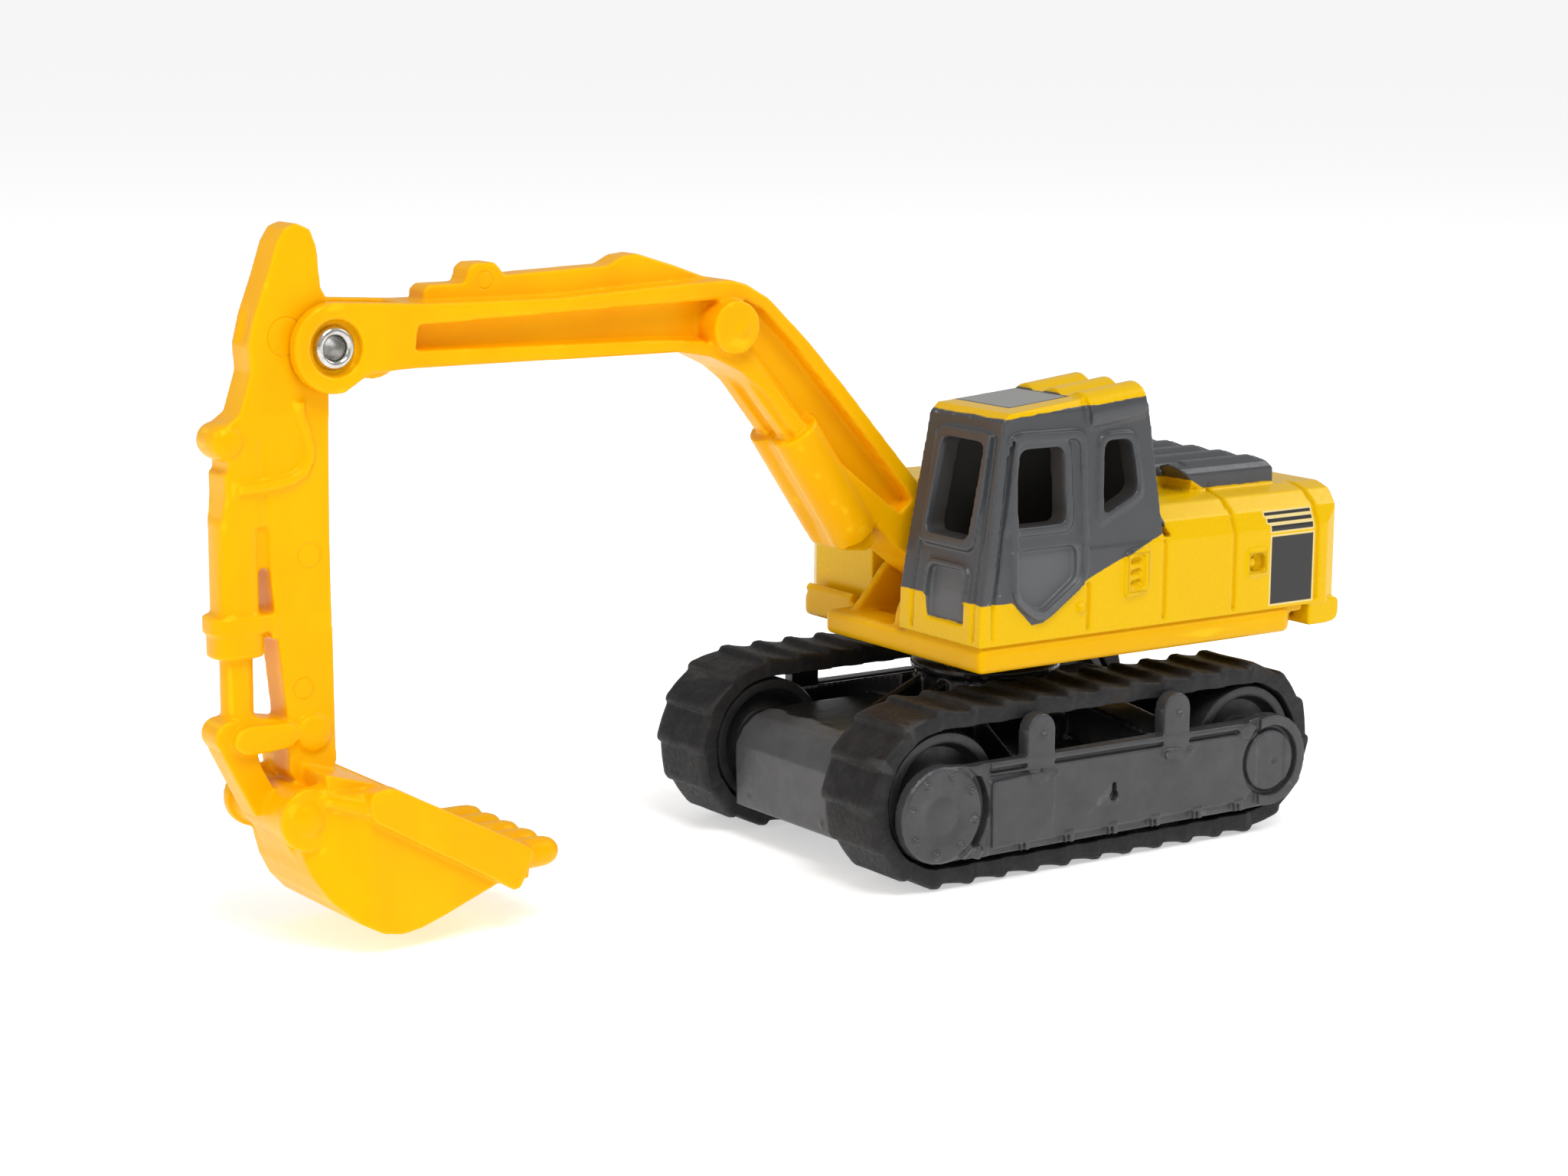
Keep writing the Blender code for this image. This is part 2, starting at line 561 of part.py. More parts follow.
def make_bucket_cylinder():
    tube = [(51.8, 26.5), (53.8, 26.5), (54.15, 23.8), (54.2, 19.0), (51.9, 19.0)]
    collar = [(51.0, 19.3), (54.8, 19.5), (54.8, 18.2), (51.0, 17.9)]
    gland = [(51.5, 18.4), (54.2, 18.4), (54.3, 17.0), (51.6, 16.8)]
    piston = [(52.05, 17.2), (53.75, 17.2), (53.8, 13.0), (52.15, 13.0)]
    link = [(49.0, 12.9), (52.4, 13.6), (53.9, 13.4), (54.5, 12.5), (54.3, 11.6)]
    link += [(52.4, 7.9), (50.6, 8.1), (51.9, 10.6), (52.3, 11.8), (49.0, 11.6)]
    return [
        prism("bucket_cylinder", tube, -1.0, 1.0),
        prism("cylinder_collar", collar, -1.25, 1.25),
        prism("cylinder_gland", gland, -1.1, 1.1),
        prism("piston_rod", piston, -0.75, 0.75),
        prism("bucket_links", link, -1.0, 1.0),
        rod("link_disc", (49.0, 0, 12.4), 1.0, -1.5, 1.5, "Y", 16),
    ]


def make_bucket_ears():
    ear = arc((49.9, 7.6), 1.6, -30, 200, 12) + [(46.2, 7.2), (46.5, 5.4), (50.2, 4.9)]
    return [
        prism("bucket_ears", ear, -2.0, 2.0),
        rod("bucket_pin", (49.9, 0, 7.6), 0.9, -2.25, 2.25, "Y", 16),
    ]


def make_bucket_shell():
    """A scoop whose mouth slopes up and back; its back narrows towards the ears."""
    outer = [(50.7, 7.6), (50.7, 6.0), (50.2, 4.6), (49.3, 3.2), (48.0, 1.95), (46.6, 1.2), (45.4, 1.0)]
    outer += [(44.2, 1.2), (42.7, 1.7), (39.6, 2.9), (37.8, 3.7), (37.4, 4.9), (46.1, 9.6), (49.3, 9.4)]
    shell = prism("bucket_shell", outer, -BUCKET_Y, BUCKET_Y)
    plan = [(34.0, -6.0), (47.5, -6.0), (47.5, -BUCKET_Y), (51.5, -2.6)]
    plan += [(51.5, 2.6), (47.5, BUCKET_Y), (47.5, 6.0), (34.0, 6.0)]
    combine(shell, prism("bucket_taper", plan, 0.0, 12.0, "Z"), "INTERSECT")
    band = [(47.2, 8.2), (38.3, 2.5), (37.2, 4.8), (46.0, 9.62)]
    for side in (-1, 1):
        join(shell, prism("side_cutter", band, *across(side, BUCKET_Y - 0.6, LIP_Y)))
    join(shell, *make_bucket_ears())
    hollow = [(48.6, 8.6), (49.4, 6.6), (49.2, 5.2), (48.3, 3.8), (47.2, 2.7), (46.0, 2.1), (45.0, 2.0)]
    hollow += [(43.6, 2.4), (38.0, 4.6), (36.4, 5.6), (36.4, 8.0), (46.0, 12.0)]
    inside = prism("bucket_hollow", hollow, -BUCKET_Y + BUCKET_WALL, BUCKET_Y - BUCKET_WALL)
    taper = [(34.0, -6.0), (47.2, -BUCKET_Y + BUCKET_WALL), (50.3, -1.9), (50.3, 1.9)]
    taper += [(47.2, BUCKET_Y - BUCKET_WALL), (34.0, 6.0)]
    combine(inside, prism("hollow_taper", taper, 0.0, 14.0, "Z"), "INTERSECT")
    cut(shell, inside)
    return shell


def make_teeth():
    tooth = [(39.0, 3.4), (38.2, 2.9), (35.9, 3.3)] + arc((35.8, 4.15), 0.85, -80, -270, 6)
    tooth += [(37.2, 5.1), (38.6, 4.6)]
    teeth = []
    for i in range(TEETH):
        middle = (i - (TEETH - 1) / 2) * TOOTH_PITCH
        half = 0.78
        teeth.append(prism("tooth", tooth, middle - half, middle + half))
    return teeth


def make_arm_rivet():
    """A tubular steel rivet through the boom's fork and the arm; its head sits in the near well."""
    profile = [(ARM_RIVET_BORE, -1.5), (ARM_RIVET_BORE, 2.1), (0.95, 2.15), (1.25, 2.0), (1.25, 1.75)]
    profile += [(ARM_RIVET_R, 1.72), (ARM_RIVET_R, -1.72), (1.25, -1.75), (1.2, -2.0), (0.9, -2.1)]
    return turned("arm_rivet", profile, (ARM_PIVOT[0], 0, ARM_PIVOT[1]), "Y", 24)


def make_boom_pin():
    end = -BAY_RIGHT_Y - GAP
    return rod("boom_pin", (BOOM_PIVOT[0], 0, BOOM_PIVOT[1]), PIN_R, -end, end, "Y", 16)


# Assembly --------------------------------------------------------------------


def build():
    clear_scene()
    moulding = material("yellow_plastic", YELLOW, 0.38)
    enamel = material("yellow_enamel", PAINT_YELLOW, 0.25)
    grey = material("grey_plastic", DARK_GREY, 0.42)
    black = material("black_plastic", BLACK, 0.45)
    rubber = material("black_rubber", (0.026, 0.026, 0.027), 0.75)
    steel = material("rivet_steel", STEEL, 0.3, 1.0)

    ground = joint_frame("undercarriage_frame", 0, 0)
    slew = joint_frame("slew_frame", 0, DECK_BOTTOM, ground)
    boom_frame = joint_frame("boom_frame", BOOM_PIVOT[0], BOOM_PIVOT[1], slew)
    arm_frame = joint_frame("arm_frame", ARM_PIVOT[0], ARM_PIVOT[1], boom_frame)

    place_piece(make_chassis(), grey, ground)
    place_piece(make_base_plate(), grey, ground)
    for end, word in ((1, "front"), (-1, "rear")):
        axle_frame = joint_frame(word + "_axle_frame", end * AXLE_X, AXLE_Z, ground)
        place_piece(make_chassis_rivet("chassis_rivet_" + word, end), steel, ground)
        place_piece(make_axle("axle_" + word, end), steel, axle_frame)
        for side, hand in ((1, "left"), (-1, "right")):
            wheel = make_wheel("wheel_" + word + "_" + hand, end, side)
            place_piece(wheel, black, axle_frame)
    for side, hand in ((1, "left"), (-1, "right")):
        place_piece(make_belt("track_belt_" + hand, side), rubber, ground)
        place_piece(make_track_frame("track_frame_" + hand, side), grey, ground)

    place_piece(make_deck(), moulding, slew)
    place_piece(make_body_casting(), enamel, slew)
    place_piece(make_slew_rivet(), steel, slew)
    place_piece(make_slew_washer(), steel, slew)
    for word, (x, y), top in zip(("rear", "front"), RIVET_POSTS, (17.8, 16.4)):
        place_piece(make_deck_rivet("deck_rivet_" + word, x, y, top), steel, slew)
    place_piece(make_boom_pin(), steel, slew)
    place_piece(make_boom(), moulding, boom_frame)
    place_piece(make_arm_rivet(), steel, boom_frame)
    place_piece(make_arm_and_bucket(), moulding, arm_frame)


build()
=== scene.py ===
"""Looks for the pocket-size toy excavator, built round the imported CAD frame.

Shapes are modelled in design millimetres (slewing axis at X = 0, Y = 0, ground at
Z = 0) and are brought to the frame's metres by TO_WORLD at the end.
"""

import math

import bmesh
import bpy
import numpy as np
from mathutils import Matrix, Vector


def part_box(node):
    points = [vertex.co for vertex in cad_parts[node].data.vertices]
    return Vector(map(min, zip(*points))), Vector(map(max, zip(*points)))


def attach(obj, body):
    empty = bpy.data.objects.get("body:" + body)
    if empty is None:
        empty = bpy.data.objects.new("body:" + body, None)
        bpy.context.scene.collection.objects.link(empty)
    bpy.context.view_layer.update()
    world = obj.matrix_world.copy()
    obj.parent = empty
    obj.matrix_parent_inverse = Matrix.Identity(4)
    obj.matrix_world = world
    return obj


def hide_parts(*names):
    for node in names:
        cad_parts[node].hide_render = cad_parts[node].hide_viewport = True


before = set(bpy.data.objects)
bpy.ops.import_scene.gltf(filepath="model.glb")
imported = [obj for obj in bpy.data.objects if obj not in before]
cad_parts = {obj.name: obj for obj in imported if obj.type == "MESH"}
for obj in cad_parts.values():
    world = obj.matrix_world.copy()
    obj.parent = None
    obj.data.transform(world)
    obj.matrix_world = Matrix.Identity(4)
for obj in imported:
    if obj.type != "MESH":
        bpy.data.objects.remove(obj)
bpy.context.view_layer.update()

MM = 0.001
AXLE_X = 12.2
AXLE_Z = 5.65
_axle_low, _axle_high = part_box("axle_front")
ORIGIN_X = (_axle_low.x + _axle_high.x) / 2 / MM - AXLE_X
TO_WORLD = Matrix.Translation((ORIGIN_X * MM, 0, 0)) @ Matrix.Scale(MM, 4)
TO_DESIGN = TO_WORLD.inverted()

SIDE_Y = 11.8
CAB_BREAK_Z = 17.0
CAB_SIDE_SLOPE = 0.0398
CAB_FRONT_SLOPE = 0.162
CAB_FRONT_X = 9.88
ROOF_RIBS_Y = (5.35, 8.0, 10.5)
WALL = 1.25
HOOD_Y = 9.1
HOOD_RIBS = 7
HOOD_FRONT = -4.2
HOOD_REAR = -16.2
FRAME_OUT = 12.9
FRAME_END_X = 13.2
FRAME_END_Z = 5.0
BELT_IN = 6.45
BELT_OUT = 11.8
BELT_R = 5.1
BELT_INNER_R = 4.25
LUG_COUNT = 32
ARM_PIVOT = (47.5, 33.9)
TEETH = 5
TOOTH_PITCH = 2.15
BUCKET_PIN = (50.4, 0, 8.05)
TABS_X = (5.75, -5.2)
# (voxel in mm, smoothing rounds, share of faces kept) for each remeshed piece
CASTING_MOULD = (0.095, 2, 0.17)
DECK_MOULD = (0.12, 5, 0.3)
BOOM_MOULD = (0.11, 9, 0.3)
ARM_MOULD = (0.11, 8, 0.3)
CHASSIS_MOULD = (0.13, 4, 0.3)
FRAME_MOULD = (0.075, 2, 0.16)
FLOOR_DROP = 0.00002
LENS_MM = 75.48
SENSOR_MM = 36.0
EYE = (130.553, 162.933, 54.0)
SIGHT = (-0.5657, -0.8043, -0.1821)
ROLL_DEGREES = 0.495


# Solids in design millimetres ---------------------------------------------------


def finish(bm, name):
    bmesh.ops.remove_doubles(bm, verts=bm.verts, dist=1e-4)
    bmesh.ops.recalc_face_normals(bm, faces=bm.faces)
    if bm.calc_volume(signed=True) < 0:
        bmesh.ops.reverse_faces(bm, faces=bm.faces)
    mesh = bpy.data.meshes.new(name)
    bm.to_mesh(mesh)
    bm.free()
    made = bpy.data.objects.new(name, mesh)
    bpy.context.scene.collection.objects.link(made)
    return made


PLACES = {
    "Y": lambda a, b, c: (a, c, b),
    "Z": lambda a, b, c: (a, b, c),
    "X": lambda a, b, c: (c, a, b),
}


def skin(outline, low, high, axis="Y"):
    """A prism whose two ends may be functions of the outline's point, to follow a sloping wall."""
    bm = bmesh.new()
    place = PLACES[axis]
    rings = []
    for end in (low, high):
        depth = end if callable(end) else (lambda a, b, value=end: value)
        rings.append([bm.verts.new(place(a, b, depth(a, b))) for a, b in outline])
    bm.faces.new(rings[0])
    bm.faces.new(rings[1])
    for i in range(len(outline)):
        j = (i + 1) % len(outline)
        bm.faces.new((rings[0][i], rings[0][j], rings[1][j], rings[1][i]))
    return finish(bm, "solid")


def box(x, y, z):
    return skin([(x[0], z[0]), (x[1], z[0]), (x[1], z[1]), (x[0], z[1])], y[0], y[1])


def turned(profile, centre, axis="Y", steps=32):
    """Spins (radius, height) points about an axis through centre."""
    bm = bmesh.new()
    points = [bm.verts.new((radius, 0, height)) for radius, height in profile]
    closed = profile[0][0] > 0
    count = len(points) if closed else len(points) - 1
    edges = [bm.edges.new((points[i], points[(i + 1) % len(points)])) for i in range(count)]
    bmesh.ops.spin(bm, geom=points + edges, cent=(0, 0, 0), axis=(0, 0, 1),
                   angle=2 * math.pi, steps=steps)
    bmesh.ops.remove_doubles(bm, verts=bm.verts, dist=1e-4)
    if axis == "Y":
        bmesh.ops.rotate(bm, matrix=Matrix.Rotation(-math.pi / 2, 3, "X"), verts=bm.verts)
    if axis == "X":
        bmesh.ops.rotate(bm, matrix=Matrix.Rotation(math.pi / 2, 3, "Y"), verts=bm.verts)
    bmesh.ops.translate(bm, vec=centre, verts=bm.verts)
    return finish(bm, "solid")


def rod(centre, radius, low, high, axis="Y", steps=24):
    return turned([(0, low), (radius, low), (radius, high), (0, high)], centre, axis, steps)


def dome(centre, radius, base, top, axis="Y", steps=16):
    """A low round-topped stud between two heights along its axis; top may be below base."""
    rise = top - base
    profile = [(0, base - rise), (radius, base - rise), (radius, base)]
    for degrees in (30, 60):
        angle = math.radians(degrees)
        profile.append((radius * math.cos(angle), base + rise * math.sin(angle)))
    profile.append((0, top))
    return turned(profile, centre, axis, steps)


def tube(points, radius, steps=10):
    """A round bar along a path of 3-D points."""
    bm = bmesh.new()
    rings = []
    for i, point in enumerate(points):
        here = Vector(point)
        after = Vector(points[min(i + 1, len(points) - 1)])
        before = Vector(points[max(i - 1, 0)])
        along = (after - before).normalized()
        if rings:
            side = (side - along * side.dot(along)).normalized()
        else:
            side = along.orthogonal().normalized()
        up = along.cross(side)
        ring = []
        for k in range(steps):
            angle = 2 * math.pi * k / steps
            ring.append(bm.verts.new(here + radius * (math.cos(angle) * side + math.sin(angle) * up)))
        rings.append(ring)
    for first, second in zip(rings, rings[1:]):
        for k in range(steps):
            bm.faces.new((first[k], first[(k + 1) % steps], second[(k + 1) % steps], second[k]))
    bm.faces.new(rings[0])
    bm.faces.new(rings[-1])
    return finish(bm, "solid")


def arc(centre, radius, start, end, count):
    points = []
    for i in range(count + 1):
        angle = math.radians(start + (end - start) * i / count)
        points.append((centre[0] + radius * math.cos(angle), centre[1] + radius * math.sin(angle)))
    return points


def area(outline):
    total = 0.0
    for (a, b), (c, d) in zip(outline, outline[1:] + outline[:1]):
        total += a * d - b * c
    return total / 2


def grow(outline, by):
    """Moves each edge of an outline outwards by a distance; a negative distance shrinks it."""
    turn = 1 if area(outline) > 0 else -1
    grown = []
    for i, here in enumerate(outline):
        before = Vector(outline[i - 1])
        after = Vector(outline[(i + 1) % len(outline)])
        here = Vector(here)
        first = (here - before).normalized()
        second = (after - here).normalized()
        n1 = Vector((first.y, -first.x)) * turn
        n2 = Vector((second.y, -second.x)) * turn
        middle = (n1 + n2).normalized()
        grown.append(tuple(here + middle * by / max(0.35, middle.dot(n1))))
    return grown


def rounded(outline, radius, steps=4):
    """Replaces each corner of an outline by a curve that starts a distance from the corner."""
    points = []
    for i, here in enumerate(outline):
        here = Vector(here)
        before = Vector(outline[i - 1]) - here
        after = Vector(outline[(i + 1) % len(outline)]) - here
        a = here + before.normalized() * min(radius, before.length * 0.45)
        b = here + after.normalized() * min(radius, after.length * 0.45)
        for k in range(steps + 1):
            t = k / steps
            points.append(tuple(a * (1 - t) ** 2 + here * 2 * t * (1 - t) + b * t * t))
    return points


def cad_copy(node):
    """The CAD node's shape in design millimetres, welded, as the start of a finer piece."""
    bm = bmesh.new()
    bm.from_mesh(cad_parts[node].data)
    bmesh.ops.transform(bm, matrix=TO_DESIGN, verts=bm.verts)
    bmesh.ops.remove_doubles(bm, verts=bm.verts, dist=2e-4)
    return finish(bm, node + "_start")


class Steps(list):
    """Boolean steps in order: solids to add to a base and solids to cut from it."""

    def add(self, solid):
        self.append(("+", solid))

    def cut(self, solid):
        self.append(("-", solid))


def shaped(base, steps):
    """Applies ("+", solid), ("-", solid) and ("&", solid) to a base, in order."""
    kinds = {"+": "UNION", "-": "DIFFERENCE", "&": "INTERSECT"}
    tools = []
    for sign, tool in steps:
        modifier = base.modifiers.new("step", "BOOLEAN")
        modifier.solver = "MANIFOLD"
        modifier.operation = kinds[sign]
        modifier.object = tool
        tools.append(tool)
    settled(base)
    for tool in tools:
        bpy.data.objects.remove(tool, do_unlink=True)
    return base


def settled(piece):
    graph = bpy.context.evaluated_depsgraph_get()
    mesh = bpy.data.meshes.new_from_object(piece.evaluated_get(graph))
    piece.modifiers.clear()
    piece.data = mesh
    return piece


def moulded(piece, voxel, rounds, keep):
    """Gives every edge a small moulded fillet: fine remesh, smoothing, then thinning."""
    remesh = piece.modifiers.new("remesh", "REMESH")
    remesh.mode = "VOXEL"
    remesh.voxel_size = voxel
    smooth = piece.modifiers.new("smooth", "SMOOTH")
    smooth.factor = 0.5
    smooth.iterations = rounds
    thin = piece.modifiers.new("thin", "DECIMATE")
    thin.ratio = keep
    return settled(piece)


def place(piece, name, body, look, replaced=None, sharp=180):
    """Brings a piece to the frame with its material and body, and hides the CAD node it stands for."""
    piece.name = name
    piece.data.name = name
    piece.data.transform(TO_WORLD)
    piece.data.materials.clear()
    piece.data.materials.append(look)
    piece.data.shade_smooth()
    if sharp < 180:
        piece.data.set_sharp_from_angle(angle=math.radians(sharp))
    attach(piece, body)
    if replaced:
        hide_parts(replaced)
    return piece


# Materials --------------------------------------------------------------------


class Look:
    """A Principled material with helpers that build node chains in design millimetres."""

    def __init__(self, name):
        self.material = bpy.data.materials.new(name)
        self.material.use_nodes = True
        self.tree = self.material.node_tree
        self.shader = self.tree.nodes["Principled BSDF"]
        coordinates = self.node("TexCoord")
        scaled = self.node("VectorMath")
        scaled.operation = "MULTIPLY_ADD"
        self.tree.links.new(coordinates.outputs["Object"], scaled.inputs[0])
        scaled.inputs[1].default_value = (1 / MM, 1 / MM, 1 / MM)
        scaled.inputs[2].default_value = (-ORIGIN_X, 0, 0)
        self.where = scaled.outputs[0]
        apart = self.node("SeparateXYZ")
        self.tree.links.new(self.where, apart.inputs[0])
        self.x, self.y, self.z = apart.outputs

    def node(self, kind):
        return self.tree.nodes.new("ShaderNode" + kind)

    def feed(self, socket, value):
        if isinstance(value, bpy.types.NodeSocket):
            self.tree.links.new(value, socket)
        elif isinstance(value, tuple) and len(value) == 3 and socket.type == "RGBA":
            socket.default_value = (*value, 1.0)
        else:
            socket.default_value = value

    def math(self, operation, a, b=0.0, clamp=False):
        node = self.node("Math")
        node.operation = operation
        node.use_clamp = clamp
        self.feed(node.inputs[0], a)
        self.feed(node.inputs[1], b)
        return node.outputs[0]

    def plus(self, a, b):
        return self.math("ADD", a, b)

    def minus(self, a, b):
        return self.math("SUBTRACT", a, b)

    def times(self, a, b):
        return self.math("MULTIPLY", a, b)

    def folded(self, operation, values):
        result = values[0]
        for value in values[1:]:
            result = self.math(operation, result, value)
        return result

    def least(self, *values):
        return self.folded("MINIMUM", values)

    def most(self, *values):
        return self.folded("MAXIMUM", values)

    def above(self, coordinate, value):
        return self.math("SUBTRACT", coordinate, value)

    def below(self, coordinate, value):
        return self.math("SUBTRACT", value, coordinate)

    def within(self, coordinate, low, high):
        return self.least(self.above(coordinate, low), self.below(coordinate, high))

    def mask(self, distance, edge=0.03):
        """0 outside and 1 inside a signed distance, with an edge of this width."""
        return self.ranged(distance, -edge, edge, 0, 1)

    def profile(self, coordinate, knots):
        """A piecewise-linear function of a coordinate, through (position, value) knots."""
        low, high = knots[0][0], knots[-1][0]
        values = [value for _, value in knots]
        base, span = min(values), max(values) - min(values)
        t = self.math("DIVIDE", self.above(coordinate, low), high - low, clamp=True)
        ramp = self.node("ValToRGB")
        self.feed(ramp.inputs[0], t)
        stops = ramp.color_ramp.elements
        while len(stops) < len(knots):
            stops.new(0.5)
        for stop, (position, value) in zip(stops, knots):
            stop.position = (position - low) / (high - low)
            level = (value - base) / span
            stop.color = (level, level, level, 1)
        return self.math("ADD", self.math("MULTIPLY", ramp.outputs[0], span), base)

    def noise(self, scale, detail=3.0, roughness=0.55, stretch=None):
        node = self.node("TexNoise")
        where = self.where
        if stretch:
            stretched = self.node("VectorMath")
            stretched.operation = "MULTIPLY"
            self.feed(stretched.inputs[0], where)
            stretched.inputs[1].default_value = stretch
            where = stretched.outputs[0]
        self.feed(node.inputs["Vector"], where)
        node.inputs["Scale"].default_value = scale
        node.inputs["Detail"].default_value = detail
        node.inputs["Roughness"].default_value = roughness
        return node.outputs["Fac"]

    def ranged(self, value, low, high, to_low, to_high):
        node = self.node("MapRange")
        self.feed(node.inputs["Value"], value)
        node.inputs["From Min"].default_value = low
        node.inputs["From Max"].default_value = high
        node.inputs["To Min"].default_value = to_low
        node.inputs["To Max"].default_value = to_high
        return node.outputs[0]

    def mix(self, factor, a, b):
        node = self.node("Mix")
        node.data_type = "RGBA"
        self.feed(node.inputs["Factor"], factor)
        self.feed(node.inputs[6], a)
        self.feed(node.inputs[7], b)
        return node.outputs[2]

    def blend(self, factor, a, b):
        node = self.node("Mix")
        node.data_type = "FLOAT"
        self.feed(node.inputs["Factor"], factor)
        self.feed(node.inputs[2], a)
        self.feed(node.inputs[3], b)
        return node.outputs[0]

    def edges(self, low, high):
        """Rises from 0 to 1 between two values of the surface's convexity."""
        node = self.node("NewGeometry")
        return self.ranged(node.outputs["Pointiness"], low, high, 0, 1)

    def bump(self, height, distance, strength=1.0, under=None):
        node = self.node("Bump")
        node.inputs["Strength"].default_value = strength
        node.inputs["Distance"].default_value = distance * MM
        self.feed(node.inputs["Height"], height)
        if under:
            self.feed(node.inputs["Normal"], under)
        return node.outputs[0]

    def set(self, **values):
        for name, value in values.items():
            self.feed(self.shader.inputs[name.replace("_", " ")], value)
        return self


def ring_marks(look, circles):
    """1 on thin round lines of the given (x, z, radius) about the Y axis, 0 elsewhere."""
    lines = []
    for x, z, radius in circles:
        dx = look.minus(look.x, x)
        dz = look.minus(look.z, z)
        square = look.plus(look.times(dx, dx), look.times(dz, dz))
        away = look.math("ABSOLUTE", look.minus(look.math("SQRT", square), radius))
        lines.append(look.mask(look.below(away, 0.05), 0.04))
    return look.most(*lines)


def moulding_look(name, thin, deep, marks=None):
    """Slightly translucent glossy plastic with flow mottling, faint scuffs, painted shade in its
    hollows and a painted highlight on its edges.
    """
    look = Look(name)
    flow = look.noise(0.16, 4.0, 0.6, (1.0, 2.0, 0.6))
    colour = look.mix(look.ranged(flow, 0.3, 0.7, 0.0, 1.0), thin, deep)
    # painted shade: concave hollows and pockets darkened towards orange
    colour = look.mix(look.times(look.edges(0.48, 0.42), 0.55), colour, YELLOW_POCKET_SHADE)
    # painted highlight: convex edges brightened towards a lighter yellow
    colour = look.mix(look.times(look.edges(0.51, 0.58), 0.4), colour, (1.0, 0.62, 0.01))
    scuffs = look.noise(3.2, 6.0, 0.7, (1.0, 1.0, 0.22))
    roughness = look.ranged(scuffs, 0.35, 0.72, 0.30, 0.46)
    normal = look.bump(look.noise(1.1, 5.0, 0.6), 0.05, 0.35)
    if marks:
        normal = look.bump(look.times(ring_marks(look, marks), -1.0), 0.05, 0.8, normal)
    look.set(Base_Color=colour, Roughness=roughness, Normal=normal, IOR=1.45, Specular_Tint=WARM_SHEEN,
             Subsurface_Weight=0.12, Subsurface_Radius=(1.0, 0.4, 0.02), Subsurface_Scale=0.0010)
    return look.material


YELLOW_THIN = (0.92, 0.475, 0.0)
YELLOW_DEEP = (0.90, 0.40, 0.0)
# painted shade colour for the hollows of the yellow mouldings
YELLOW_POCKET_SHADE = (0.85, 0.29, 0.0)
ENAMEL = (0.76, 0.455, 0.0)
ENAMEL_DEEP = (0.73, 0.415, 0.0)
# painted shade colour for the enamel's hollows and outlines
ENAMEL_SHADE = (0.40, 0.22, 0.0)
WARM_SHEEN = (1.0, 0.78, 0.10, 1.0)
PAINT_GREY = (0.046, 0.048, 0.052)
PANEL_GREY = (0.090, 0.093, 0.098)
ROOF_GREY = (0.27, 0.275, 0.265)
PRINT_BLACK = (0.016, 0.016, 0.017)
# bare metal of the cab's inside, darkened further as painted shade
BARE_METAL_AND_SHADE = (0.035, 0.033, 0.030)


